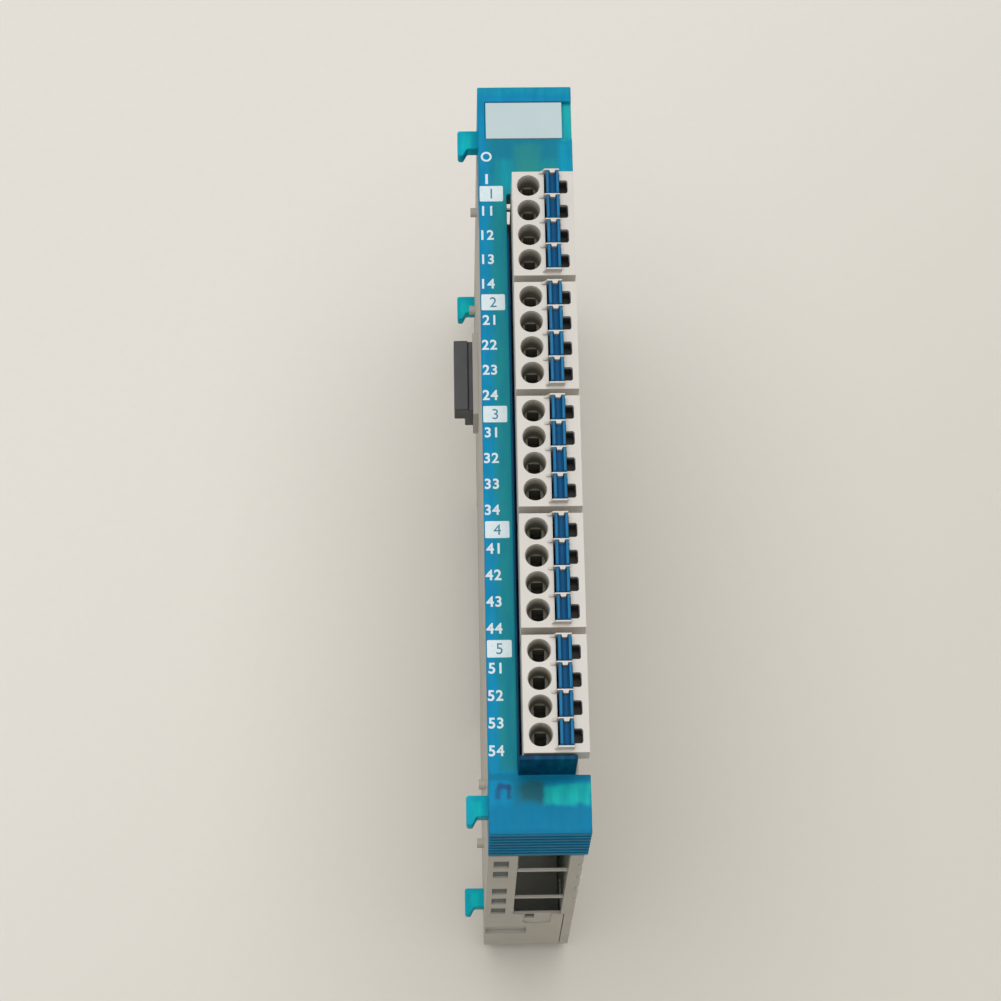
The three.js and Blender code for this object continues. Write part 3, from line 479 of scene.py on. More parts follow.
@dataclass(frozen=True)
class TintedPlastic(Finish):
    """See-through tinted plastic, whose tone changes with what lies behind it and with painted shade and
    painted light.

    Attributes:
        zones: The areas of another tone, painted shade and painted light among them, each over the ones
            before it.
        clarity: How much light goes through.
        roughness: How matt it is.
        cloud: Size of the patches of colour in millimetres.
        wave: Size of the waves in the zones' edges in millimetres.
        waver: How far those edges waver, in millimetres.
        streak: Size of the darker streaks in millimetres.
        streaks: How much of them shows.
        lay: How much finer they are along each axis.
        worn: Size of the patches that are more or less matt, in millimetres.
        span: How much less matt and how much more they are.
        skin: Depth of the surface's relief in millimetres.
    """

    zones: tuple[Zone, ...] = ()
    clarity: float = 0.12
    roughness: float = 0.36
    cloud: float = 7.0
    wave: float = 2.6
    waver: float = 0.3
    streak: float = 1.0
    streaks: float = 0.5
    lay: Point = (1, 0.16, 0.3)
    worn: float = 1.8
    span: Pair = (0.04, 0.08)
    skin: float = 0.01

    def paint(self, graph: NodeGraph) -> None:
        """Gives the plastic its zones and streaks.

        Args:
            graph: The material's nodes.
        """
        wave = graph.patches(self.wave, 3, (-self.waver * MM, self.waver * MM))
        across, along = (
            combined(graph.tree, graph.along(axis), wave, Operation.ADD) for axis in (Axis.X, Axis.Y)
        )
        tone = graph.blend(graph.patches(self.cloud, 3), shade(self.colour, 0.9), self.colour)
        for zone in self.zones:
            tone = graph.blend(zone.mask(graph, across, along), tone, zone.tone)
        streaks = graph.spread(graph.clouds(self.streak, 4, self.lay), (0.4, 0.75), (0, self.streaks))
        graph.drive("Base Color", graph.blend(streaks, tone, shade(self.colour, 0.62)))
        graph.roughen(self.roughness, self.span, graph.clouds(self.worn, 4))
        graph.relief(graph.clouds(0.3, 3), self.skin, 0.6)
        graph.plain(IOR=1.5, Transmission_Weight=self.clarity, Specular_IOR_Level=0.02)


@dataclass(frozen=True)
class PaintedLightPlastic(Finish):
    """Satin plastic with painted light: its higher parts are painted lighter, as if lit from above, and its
    lower parts keep its own darker colour as painted shade.

    Attributes:
        lit_top: The painted lighter colour of its higher parts.
        heights: Z where the painted light starts and where it is full, in millimetres.
        roughness: How matt it is.
        cloud: Size of the patches of its own colour in millimetres.
        patch: Size of the patches where the painted light is weaker, in millimetres.
        worn: Size of the patches that are more or less matt, in millimetres.
        lay: How much finer both are along each axis.
        span: How much less matt and how much more they are.
        skin: Depth of the surface's relief in millimetres.
    """

    lit_top: Colour
    heights: Pair
    roughness: float = 0.36
    cloud: float = 2.4
    patch: float = 0.9
    worn: float = 0.7
    lay: Point = (1, 0.3, 1)
    span: Pair = (0.06, 0.08)
    skin: float = 0.006

    def paint(self, graph: NodeGraph) -> None:
        """Gives the plastic its painted light on its higher parts.

        Args:
            graph: The material's nodes.
        """
        low, high = (height * MM for height in self.heights)
        lit_share = graph.step(graph.along(Axis.Z), low, high)
        patches = graph.spread(graph.clouds(self.patch, 4, self.lay), (0.25, 0.7), (0.6, 1))
        drift = graph.blend(graph.patches(self.cloud, 2), self.colour, shade(self.colour, 0.86))
        graph.drive("Base Color", graph.blend(graph.times(lit_share, patches), drift, self.lit_top))
        graph.roughen(self.roughness, self.span, graph.clouds(self.worn, 4, self.lay))
        graph.relief(graph.clouds(0.12, 3, (1, 0.4, 1)), self.skin, 0.7)
        graph.plain(IOR=1.5, Specular_IOR_Level=0.1)


@dataclass(frozen=True)
class BrightMetal(Finish):
    """Drawn or rolled metal with fine scratches along one direction.

    Attributes:
        roughness: How matt it is.
        lay: How much finer the scratches are along each axis.
        scratch: The size of a scratch in millimetres.
        depth: The depth of a scratch in millimetres.
        span: How much less matt and how much more the scratches are.
    """

    roughness: float = 0.28
    lay: Point = (1, 12, 1)
    scratch: float = 0.9
    depth: float = 0.004
    span: Pair = (0.08, 0.12)

    def paint(self, graph: NodeGraph) -> None:
        """Gives the metal its scratches.

        Args:
            graph: The material's nodes.
        """
        scratches = graph.clouds(self.scratch, 4, self.lay)
        share = graph.spread(scratches, EVEN, (0, 1))
        graph.drive("Base Color", graph.blend(share, shade(self.colour, 0.86), self.colour))
        graph.roughen(self.roughness, self.span, scratches)
        graph.relief(scratches, self.depth, 0.5)
        graph.plain(Metallic=1.0)


@dataclass(frozen=True)
class SolderMask(Finish):
    """A circuit board: glossy green lacquer over copper tracks.

    Attributes:
        track: The colour of the lacquer over copper.
        pitch: The spacing of the tracks in millimetres.
        unit: How many spacings the pattern's unit takes.
        width: The width of a track, as a share of that unit.
        offset: How far each row between two tracks is shifted, as a share of a field's length.
        rise: How far the lacquer rises over a track, in millimetres.
        sheen: How matt its least and its most matt patches are.
    """

    track: Colour
    pitch: float = 1.27
    unit: int = 6
    width: float = 0.035
    offset: float = 0.37
    rise: float = 0.03
    sheen: Pair = (0.24, 0.42)

    def paint(self, graph: NodeGraph) -> None:
        """Gives the board its tracks.

        Args:
            graph: The material's nodes.
        """
        node = graph.tree.nodes.new("ShaderNodeTexBrick")
        node.offset = self.offset
        node.inputs["Scale"].default_value = 1 / (self.pitch * self.unit * MM)
        node.inputs["Mortar Size"].default_value = self.width
        colours = {"Color1": self.colour, "Color2": shade(self.colour, 0.82), "Mortar": self.track}
        for name, colour in colours.items():
            node.inputs[name].default_value = (*colour, 1)
        turned = graph.tree.nodes.new("ShaderNodeMapping")
        turned.inputs["Rotation"].default_value = (0, math.pi / 2, 0)
        graph.join(graph.place, turned.inputs["Vector"])
        graph.join(turned.outputs["Vector"], node.inputs["Vector"])
        graph.drive("Base Color", node.outputs["Color"])
        graph.drive("Roughness", graph.patches(3, 3, self.sheen))
        graph.relief(node.outputs["Fac"], self.rise, 0.7)
        graph.plain(IOR=1.52)


@dataclass(frozen=True)
class PrintInk(Finish):
    """Pad-printed ink, thin enough for the plastic to show a little.

    Attributes:
        under: The colour that shows through its thin spots.
        spot: The size of those spots in millimetres.
        bare: How much of the colour below shows in them.
        sheen: How matt its least and its most matt patches are.
    """

    under: Colour
    spot: float = 0.3
    bare: float = 0.35
    sheen: Pair = (0.42, 0.6)

    def paint(self, graph: NodeGraph) -> None:
        """Gives the ink its thin spots.

        Args:
            graph: The material's nodes.
        """
        thin = graph.spread(graph.clouds(self.spot, 3), (0.55, 0.85), (0, self.bare))
        graph.drive("Base Color", graph.blend(thin, self.colour, self.under))
        graph.drive("Roughness", graph.patches(0.8, 3, self.sheen))
        graph.relief(graph.clouds(0.12, 3), 0.006, 0.6)


@dataclass(frozen=True)
class ClearPlastic(Finish):
    """Clear plastic of a light guide, with faint flow lines along Z.

    Attributes:
        flow: The width of the flow lines in millimetres.
        clarity: How much light goes through.
        sheen: How matt it is in and between them.
    """

    flow: float = 1.5
    clarity: float = 0.9
    sheen: Pair = (0.08, 0.2)

    def paint(self, graph: NodeGraph) -> None:
        """Gives the plastic its flow lines.

        Args:
            graph: The material's nodes.
        """
        flow = graph.patches(self.flow, 3, (0, 1), (1, 1, 0.2))
        graph.drive("Base Color", graph.blend(flow, shade(self.colour, 0.9), self.colour))
        graph.drive("Roughness", graph.spread(flow, (0, 1), self.sheen))
        graph.plain(IOR=1.49, Transmission_Weight=self.clarity)


@dataclass(frozen=True)
class PaperFloor(Finish):
    """Pale seamless paper with painted shade that darkens it towards one corner, and even in tone far from
    the object.

    Its own colour is the one at the far left.

    Attributes:
        dark: Its colour at the near right, where the painted shade is deepest.
        far: The colour that it shows far away.
        fade: Where the painted shade starts and where it is deepest, as X less Y in metres.
        reach: Where the far colour starts and where it is alone, in metres from the object.
        fibre: The size of the darker fibres in millimetres.
        fibres: How much of them shows.
        tooth: The depth of the paper's relief in millimetres.
    """

    dark: Colour
    far: Colour
    fade: Pair = (-0.11, 0.12)
    reach: Pair = (0.35, 1.6)
    fibre: float = 1.2
    fibres: float = 0.06
    tooth: float = 0.02

    def paint(self, graph: NodeGraph) -> None:
        """Gives the paper its tone near by and far away.

        Args:
            graph: The material's nodes.
        """
        tree = graph.tree
        across = combined(tree, graph.along(Axis.X), graph.along(Axis.Y), Operation.SUBTRACT)
        # Painted shade: the paper darkens towards the near right.
        tone = graph.blend(graph.step(across, *self.fade), self.colour, self.dark)
        fibres = graph.patches(self.fibre, 4, (0, self.fibres))
        graph.drive("Base Color", graph.blend(fibres, tone, shade(self.dark, 0.9)))
        graph.relief(graph.clouds(0.5, 4), self.tooth, 0.4)
        graph.plain(Roughness=0.9)
        distance = tree.nodes.new("ShaderNodeVectorMath")
        distance.operation = "LENGTH"
        graph.join(graph.place, distance.inputs[0])
        away = graph.times(graph.step(distance.outputs["Value"], *self.reach), seen_rays(tree))
        backdrop = tree.nodes.new("ShaderNodeEmission")
        backdrop.inputs["Color"].default_value = (*self.far, 1)
        surface = mixed(tree, away, graph.shader.outputs[0], backdrop.outputs[0])
        graph.join(surface, graph.output.inputs["Surface"])


class Palette:
    """The materials of the module, each made once."""

    def __init__(self) -> None:
        """Makes every material."""
        self.cover = TintedPlastic("cover_blue", screen(0, 148, 196), self.cover_zones()).make()
        self.lock = TintedPlastic(
            "lock_teal", screen(0, 184, 206), self.lock_zones(), clarity=0.08, roughness=0.3
        ).make()
        self.marker = MouldedPlastic(
            "marker_white", screen(186, 204, 207), skin=0.006, grain=0.1, drift=0.02
        ).make()
        self.housing = MouldedPlastic(
            "housing_grey", screen(184, 180, 171), roughness=0.55, skin=0.014, grain=0.18, drift=0.035
        ).make()
        self.header = MouldedPlastic("header_grey", screen(172, 168, 158), roughness=0.55).make()
        self.plug = MouldedPlastic(
            "plug_grey", screen(212, 207, 199), roughness=0.48, skin=0.01, grain=0.14, drift=0.03
        ).make()
        self.latch = MouldedPlastic("latch_grey", screen(180, 176, 168)).make()
        self.connector = MouldedPlastic("connector_grey", screen(70, 70, 74), skin=0.01).make()
        self.chip = MouldedPlastic(
            "chip_black", screen(30, 30, 32), roughness=0.45, skin=0.008, grain=0.1, drift=0.1
        ).make()
        self.lamp = MouldedPlastic("lamp_white", screen(238, 236, 226), roughness=0.3, skin=0.003).make()
        # The test inserts: a dark part whose colour is partly painted shade of the deep test openings.
        self.probe = MouldedPlastic(
            "probe_socket_shade", screen(52, 50, 45), roughness=0.6, skin=0.006, grain=0.1
        ).make()
        # The vent baffles: darker than the housing, partly painted shade of the vents.
        self.baffle = MouldedPlastic(
            "baffle_shade_grey", screen(104, 112, 106), roughness=0.6, skin=0.01, grain=0.2, drift=0.1
        ).make()
        # Painted light: the levers are lighter on their ridges, as if lit from above, and keep a darker blue
        # below as painted shade.
        self.lever = PaintedLightPlastic(
            "lever_blue", screen(4, 78, 124), lit_top=screen(44, 126, 174), heights=(74.95, 75.3)
        ).make()
        # Painted shade: the hole linings are darker deep in the holes and lighter towards the plug's face.
        self.guide = PaintedLightPlastic(
            "hole_shade_lining",
            screen(118, 114, 102),
            lit_top=screen(210, 205, 193),
            heights=(72.2, 74.0),
            roughness=0.5,
        ).make()
        self.board = SolderMask("board_green", screen(24, 84, 56), track=screen(44, 120, 78)).make()
        self.clear = ClearPlastic("clear_guide", screen(226, 240, 242)).make()
        self.spring = BrightMetal("spring_steel", screen(190, 193, 198)).make()
        self.can = BrightMetal("can_aluminium", screen(206, 208, 211), 0.34, lay=(12, 1, 1)).make()
        self.contact = BrightMetal("contact_gold", screen(214, 184, 120), roughness=0.25).make()
        self.white_ink = PrintInk("ink_white", screen(214, 228, 232), under=screen(60, 170, 200)).make()
        self.blue_ink = PrintInk("ink_blue", screen(40, 112, 140), under=screen(160, 196, 208)).make()

    def cover_zones(self) -> tuple[Zone, ...]:
        """The tones that the parts behind the cover give it, with painted shade and painted light among them.

        Returns:
            The zones, each over the ones before it.
        """
        teal, bright, violet = screen(26, 146, 149), screen(24, 178, 182), screen(40, 72, 126)
        return (
            # The light right half of the strip, and a painted shadow at its end beside the marker plate.
            Zone((-4.8, 4.6), (-43.2, 43.4), teal, 1.3, 0.85),
            Zone((-4.9, 4.6), (40.2, 43.8), screen(14, 128, 156), 1.4, 0.8),
            # What lies below the marker plate: a bright wall, a pale block and the right side.
            Zone((-3.4, -1.5), (35.6, 40.2), screen(8, 162, 178), 1.2, 0.75),
            Zone((-1.4, 2.0), (36.8, 42.4), screen(44, 146, 142), 1.6, 0.8),
            Zone((4.5, 7.0), (34.0, 42.8), screen(0, 164, 196), 1.1, 0.85),
            # The edge at the marker end, and the bright bar on the right of the marker plate.
            Zone((-7.0, 7.0), (49.9, 52.0), screen(14, 156, 184), 0.8, 0.8),
            Zone((5.05, 7.0), (43.1, 48.8), bright, 0.6),
            # The other end with its grip.
            Zone((-7.0, 7.0), (-50.3, -47.4), screen(0, 130, 174), 1.4, 0.85),
            Zone((-7.0, 7.0), (-53.0, -50.3), screen(0, 120, 162), 0.8, 0.8),
            # Painted shadow of a block behind that end, and painted light that comes through from beneath
            # beside it.
            Zone((-3.4, 0.7), (-47.4, -44.2), screen(16, 122, 146), 1.6, 0.75),
            Zone((-2.4, 0.7), (-47.0, -44.3), screen(36, 100, 110), 1.2, 0.9),
            Zone((0.6, 6.2), (-47.3, -44.9), screen(22, 200, 194), 0.8, 0.95),
            # The two legs and the bridge of a catch behind it.
            Zone((-5.25, -4.75), (-46.6, -44.8), violet, 0.5, 0.75),
            Zone((-4.0, -3.5), (-46.6, -44.8), violet, 0.5, 0.75),
            Zone((-5.25, -3.5), (-45.4, -44.8), violet, 0.5, 0.75),
            # The edge beside the last plug, and painted shade on the wall that stands on it.
            Zone((-7.0, 7.0), (-44.35, -43.4), screen(4, 120, 156), 0.4, 0.7),
            Zone((-3.5, 7.0), (-44.2, -42.2), screen(0, 58, 92), 0.2, 1.0, 67.1),
        )

    def lock_zones(self) -> tuple[Zone, ...]:
        """The brighter middle of each hook."""
        bright = screen(4, 202, 206)
        return tuple(Zone((-8.2, -7.0), ends, bright, 0.8) for ends in ((44.4, 46.6), (-47.6, -45.4)))


# ------------------------------------------------------------------------------------------------
# Shapes
# ------------------------------------------------------------------------------------------------


def around(middle: float, length: float) -> Pair:
    """The two ends of a length about its middle."""
    return middle - length / 2, middle + length / 2


def turns(steps: int) -> list[Pair]:
    """The cosine and sine of each step of a full turn."""
    angles = (2 * math.pi * i / steps for i in range(steps))
    return [(math.cos(angle), math.sin(angle)) for angle in angles]


def placed(others: Sequence[float], axis: Axis, along: float) -> Point:
    """Makes a point of two coordinates and the one along an axis.

    Args:
        others: The coordinates on the other two axes, in the order of the alphabet.
        axis: The axis.
        along: The coordinate on it.

    Returns:
        The point.
    """
    point = list(others)
    point.insert(axis.value, along)
    return tuple(point)


class Shape:
    """A mesh in the making, in millimetres."""

    def __init__(self) -> None:
        """Starts with nothing."""
        self.mesh = bmesh.new()

    def closed(self, faces: list[bmesh.types.BMFace]) -> "Shape":
        """Turns the faces of a new solid outwards and gives the shape back."""
        bmesh.ops.recalc_face_normals(self.mesh, faces=faces)
        return self

    def block(self, x: Pair, y: Pair, z: Pair) -> "Shape":
        """Adds a box between two ends on each axis."""
        return self.prism([(x[0], y[0]), (x[1], y[0]), (x[1], y[1]), (x[0], y[1])], Axis.Z, z)

    def prism(self, outline: Sequence[Pair], axis: Axis, ends: Pair) -> "Shape":
        """Sweeps an outline of points on the other two axes along an axis, from one end to the other."""
        return self.loft([[placed(point, axis, end) for point in outline] for end in ends])

    def loft(self, rings: Sequence[Sequence[Point]]) -> "Shape":
        """Joins rings of points into a closed skin.

        Args:
            rings: The rings, each with as many points as the next.

        Returns:
            The shape itself.
        """
        made = [[self.mesh.verts.new(point) for point in ring] for ring in rings]
        count = len(made[0])
        faces = [self.mesh.faces.new(made[0][::-1]), self.mesh.faces.new(made[-1])]
        for low, high in zip(made, made[1:]):
            for i in range(count):
                j = (i + 1) % count
                faces.append(self.mesh.faces.new((low[i], low[j], high[j], high[i])))
        return self.closed(faces)

    def lathe(self, centre: Point, profile: Sequence[Pair], axis: Axis, steps: int) -> "Shape":
        """Turns a profile about an axis.

        Args:
            centre: The point that the profile starts from.
            profile: Its points as distance along the axis and radius.
            axis: The axis that it turns about.
            steps: How many sides the round has.

        Returns:
            The shape itself.
        """
        rings = []
        for height, radius in profile:
            ring = (placed((radius * cos, radius * sin), axis, height) for cos, sin in turns(steps))
            rings.append([tuple(a + b for a, b in zip(centre, point)) for point in ring])
        return self.loft(rings)

    def ring(self, centre: Point, profile: Sequence[Pair], steps: int = 36) -> "Shape":
        """Turns a closed profile about Z into a ring.

        Args:
            centre: The point that the profile's heights start from.
            profile: Its points as height and radius.
            steps: How many sides the round has.

        Returns:
            The shape itself.
        """
        x, y, z = centre
        new = self.mesh.verts.new
        columns = [
            [new((x + radius * cos, y + radius * sin, z + height)) for height, radius in profile]
            for cos, sin in turns(steps)
        ]
        faces = []
        for near, far in zip(columns, [*columns[1:], columns[0]]):
            for i in range(len(profile)):
                j = (i + 1) % len(profile)
                faces.append(self.mesh.faces.new((near[i], far[i], far[j], near[j])))
        return self.closed(faces)

    def sheet(self, width: Sequence[float], depth: Sequence[float], surface: Callable, low: float) -> "Shape":
        """Adds a solid whose top is a surface over a grid and whose bottom is flat.

        Args:
            width: The grid's values across.
            depth: The grid's shares from the near edge to the far one.
            surface: Gives the top point for a value across and a share.
            low: The height of the bottom.

        Returns:
            The shape itself.
        """
        new = self.mesh.verts.new
        top = [[new(surface(x, share)) for share in depth] for x in width]
        bottom = [[new((v.co.x, v.co.y, low)) for v in column] for column in top]
        faces = []
        for i in range(len(width) - 1):
            for j in range(len(depth) - 1):
                for grid in (top, bottom):
                    corners = (grid[i][j], grid[i + 1][j], grid[i + 1][j + 1], grid[i][j + 1])
                    faces.append(self.mesh.faces.new(corners))
        edge = [(i, 0) for i in range(len(width))]
        edge += [(len(width) - 1, j) for j in range(1, len(depth))]
        edge += [(i, len(depth) - 1) for i in range(len(width) - 2, -1, -1)]
        edge += [(0, j) for j in range(len(depth) - 2, 0, -1)]
        for (i, j), (k, m) in zip(edge, [*edge[1:], edge[0]]):
            faces.append(self.mesh.faces.new((top[i][j], bottom[i][j], bottom[k][m], top[k][m])))
        return self.closed(faces)

    def text(
        self, words: str, middle: Point, height: float, thickness: float, weight: float = 0.0
    ) -> "Shape":
        """Adds raised figures that face +Z.

        Args:
            words: The figures.
            middle: Their middle.
            height: Their height.
            thickness: Their thickness.
            weight: How much their strokes are widened.

        Returns:
            The shape itself.
        """
        curve = bpy.data.curves.new("figures", "FONT")
        curve.body = words
        curve.size = 1.0
        curve.offset = weight
        curve.space_character = 1.1
        curve.extrude = thickness / 2
        holder = bpy.data.objects.new("figures", curve)
        bpy.context.scene.collection.objects.link(holder)
        ready = holder.evaluated_get(bpy.context.evaluated_depsgraph_get())
        flat = bpy.data.meshes.new_from_object(ready)
        low = Vector(map(min, *(v.co for v in flat.vertices)))
        high = Vector(map(max, *(v.co for v in flat.vertices)))
        size = height / (high.y - low.y)
        flat.transform(Matrix.Translation((low + high) / -2))
        flat.transform(Matrix.Diagonal((size, size, 1, 1)))
        flat.transform(Matrix.Translation(middle))
        self.mesh.from_mesh(flat)
        bpy.data.objects.remove(holder)
        bpy.data.curves.remove(curve)
        bpy.data.meshes.remove(flat)
        return self

    def finished(self, name: str, material: Material, smooth: float) -> Piece:
        """Turns the shape into an object in metres.

        Args:
            name: The object's name.
            material: Its material.
            smooth: The widest angle in degrees that is shaded as a curve.

        Returns:
            The object.
        """
        bmesh.ops.scale(self.mesh, vec=(MM, MM, MM), verts=self.mesh.verts)
        data = bpy.data.meshes.new(name)
        self.mesh.to_mesh(data)
        self.mesh.free()
        data.materials.append(material)
        data.shade_smooth()
        data.set_sharp_from_angle(angle=math.radians(smooth))
        made = bpy.data.objects.new(name, data)
        bpy.context.scene.collection.objects.link(made)
        return made


def soften(piece: Piece, radius: float, segments: int = 2, angle: float = 38) -> bpy.types.BevelModifier:
    """Rounds the sharp edges of a piece.

    Args:
        piece: The piece.
        radius: The size of the rounding in millimetres.
        segments: How many facets it has.
        angle: The least angle in degrees that is rounded.

    Returns:
        The rounding.
    """
    bevel = piece.modifiers.new("rounding", "BEVEL")
    bevel.width = radius * MM
    bevel.segments = segments
    bevel.limit_method = "ANGLE"
    bevel.angle_limit = math.radians(angle)
    bevel.miter_outer = "MITER_ARC"
    bevel.use_clamp_overlap = True
    return bevel


def smooth_tree() -> Tree:
    """Makes the nodes that shade shallow angles smoothly and keep steep ones sharp.

    Returns:
        The node tree, for a modifier.
    """
    tree = bpy.data.node_groups.new("shading_by_angle", "GeometryNodeTree")
    for way in ("INPUT", "OUTPUT"):
        tree.interface.new_socket("Geometry", in_out=way, socket_type="NodeSocketGeometry")
    start, end = tree.nodes.new("NodeGroupInput"), tree.nodes.new("NodeGroupOutput")
    faces, edges = (tree.nodes.new("GeometryNodeSetShadeSmooth") for _ in range(2))
    edges.domain = "EDGE"
    edges.inputs["Shade Smooth"].default_value = False
    angle = tree.nodes.new("GeometryNodeInputMeshEdgeAngle")
    steep = tree.nodes.new("FunctionNodeCompare")
    steep.operation = "GREATER_THAN"
    steep.inputs[1].default_value = math.radians(SHARP_ANGLE)
    tree.links.new(start.outputs[0], faces.inputs["Geometry"])
    tree.links.new(faces.outputs[0], edges.inputs["Geometry"])
    tree.links.new(angle.outputs["Unsigned Angle"], steep.inputs[0])
    tree.links.new(steep.outputs[0], edges.inputs["Selection"])
    tree.links.new(edges.outputs[0], end.inputs[0])
    return tree


@dataclass
class Bench:
    """Dresses the nodes of the frame, settles new pieces on it, and reports each.

    Attributes:
        palette: The materials.
        shading: The node tree that sets smooth and sharp edges.
        done: How many nodes and pieces have been reported.
    """

    palette: Palette = field(default_factory=Palette)
    shading: Tree = field(default_factory=smooth_tree)
    done: int = 0

    def dress(
        self, node: str, material: Material, radius: float, segments: int = 2, merged: bool = True
    ) -> None:
        """Gives a node of the frame its material and rounded edges.

        Args:
            node: The node's name.
            material: Its material.
            radius: The size of the rounding in millimetres, or 0 for none.
            segments: How many facets the rounding has.
            merged: Whether faces in one plane are merged first.
        """
        self.clothe(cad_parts[node], material, radius, segments, merged)
        self.done += 1
        LOG.info("%3d %s dressed", self.done, node)

    def clothe(self, piece: Piece, material: Material, radius: float, segments: int, merged: bool) -> None:
        """Gives a mesh of the frame its material and rounded edges.

        Args:
            piece: The object that has the mesh.
            material: Its material.
            radius: The size of the rounding in millimetres, or 0 for none.
            segments: How many facets the rounding has.
            merged: Whether faces in one plane are merged first.
        """
        piece.data.materials.clear()
        piece.data.materials.append(material)
        weld = piece.modifiers.new("welded", "WELD")
        weld.merge_threshold = WELD_REACH * MM
        if merged:
            flat = piece.modifiers.new("flat_faces", "DECIMATE")
            flat.decimate_type = "DISSOLVE"
            flat.angle_limit = math.radians(FLAT_ANGLE)
        if radius:
            bevel = soften(piece, radius, segments)
            bevel.use_clamp_overlap = bevel.loop_slide = merged
        piece.modifiers.new("shading", "NODES").node_group = self.shading
        piece.modifiers.new("normals", "WEIGHTED_NORMAL").keep_sharp = True

    def spring(self, node: str, name: str, body: str, joint: str) -> Piece:
        """Stands in for a spring with a copy of its node that rides on a body.

        Args:
            node: The node that it stands for.
            name: The piece's name.
            body: The body that carries the spring's lower end.
            joint: The joint that presses it; not used.

        Returns:
            The piece.
        """
        piece = bpy.data.objects.new(name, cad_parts[node].data.copy())
        bpy.context.scene.collection.objects.link(piece)
        self.clothe(piece, self.palette.spring, 0, 1, True)
        self.settle(piece, body, Slot.SPRING, node)
        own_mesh(piece)
        return piece

    def add(
        self,
        name: str,
        shape: Shape,
        material: Material,
        slot: Slot,
        *nodes: str,
        body: str = HOUSING,
        radius: float = 0.0,
        segments: int = 2,
        smooth: float = 35,
    ) -> None:
        """Makes a piece of a shape and puts it on a body of the frame.

        Args:
            name: The piece's name.
            shape: Its shape.
            material: Its material.
            slot: The material slot for the piece, handed on to settle.
            *nodes: The nodes that it stands for.
            body: The body that it moves with.
            radius: The size of its rounding in millimetres, or 0 for none.
            segments: How many facets the rounding has.
            smooth: The widest angle in degrees that is shaded as a curve.
        """
        piece = shape.finished(name, material, smooth)
        if radius:
            soften(piece, radius, segments)
        self.settle(piece, body, slot, *nodes)

    def settle(self, piece: Piece, body: str, slot: Slot, *nodes: str) -> None:
        """Puts a new piece on a body of the frame.

        Args:
            piece: The piece.
            body: The body that it moves with.
            slot: The material slot for the piece; not used.
            *nodes: The nodes that it stands for.
        """
        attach(piece, body)
        if nodes:
            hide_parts(*nodes)
        self.done += 1
        LOG.info("%3d %s rides on %s", self.done, piece.name, body)


# ------------------------------------------------------------------------------------------------
# Sub-assemblies
# ------------------------------------------------------------------------------------------------


@dataclass(frozen=True)
class Layout:
    """Places that several sub-assemblies share.

    Attributes:
        left: The left side.
        end: The ends of the cover, from the middle.
        front: The front plane of the cover.
        face: The front plane of the plugs.
        rear: The rear feet.
        plugs: How many plugs there are.
        poles: How many poles each plug has.
        pitch: The pitch of the poles.
        plug_pitch: The pitch of the plugs.
        first_pole: Y of the first pole.
        board_right: The right face of the circuit board.
    """

    left: float = -6.25
    end: float = 50.95
    front: float = 67.0
    face: float = 74.2
    rear: float = -5.0
    plugs: int = 5
    poles: int = 4
    pitch: float = 3.5
    plug_pitch: float = 15.65
    first_pole: float = 32.6
    board_right: float = -3.0

    def pole(self, plug: int, pole: int) -> float:
        """Y of a pole, both counted from 0."""
        return self.first_pole - plug * self.plug_pitch - pole * self.pitch


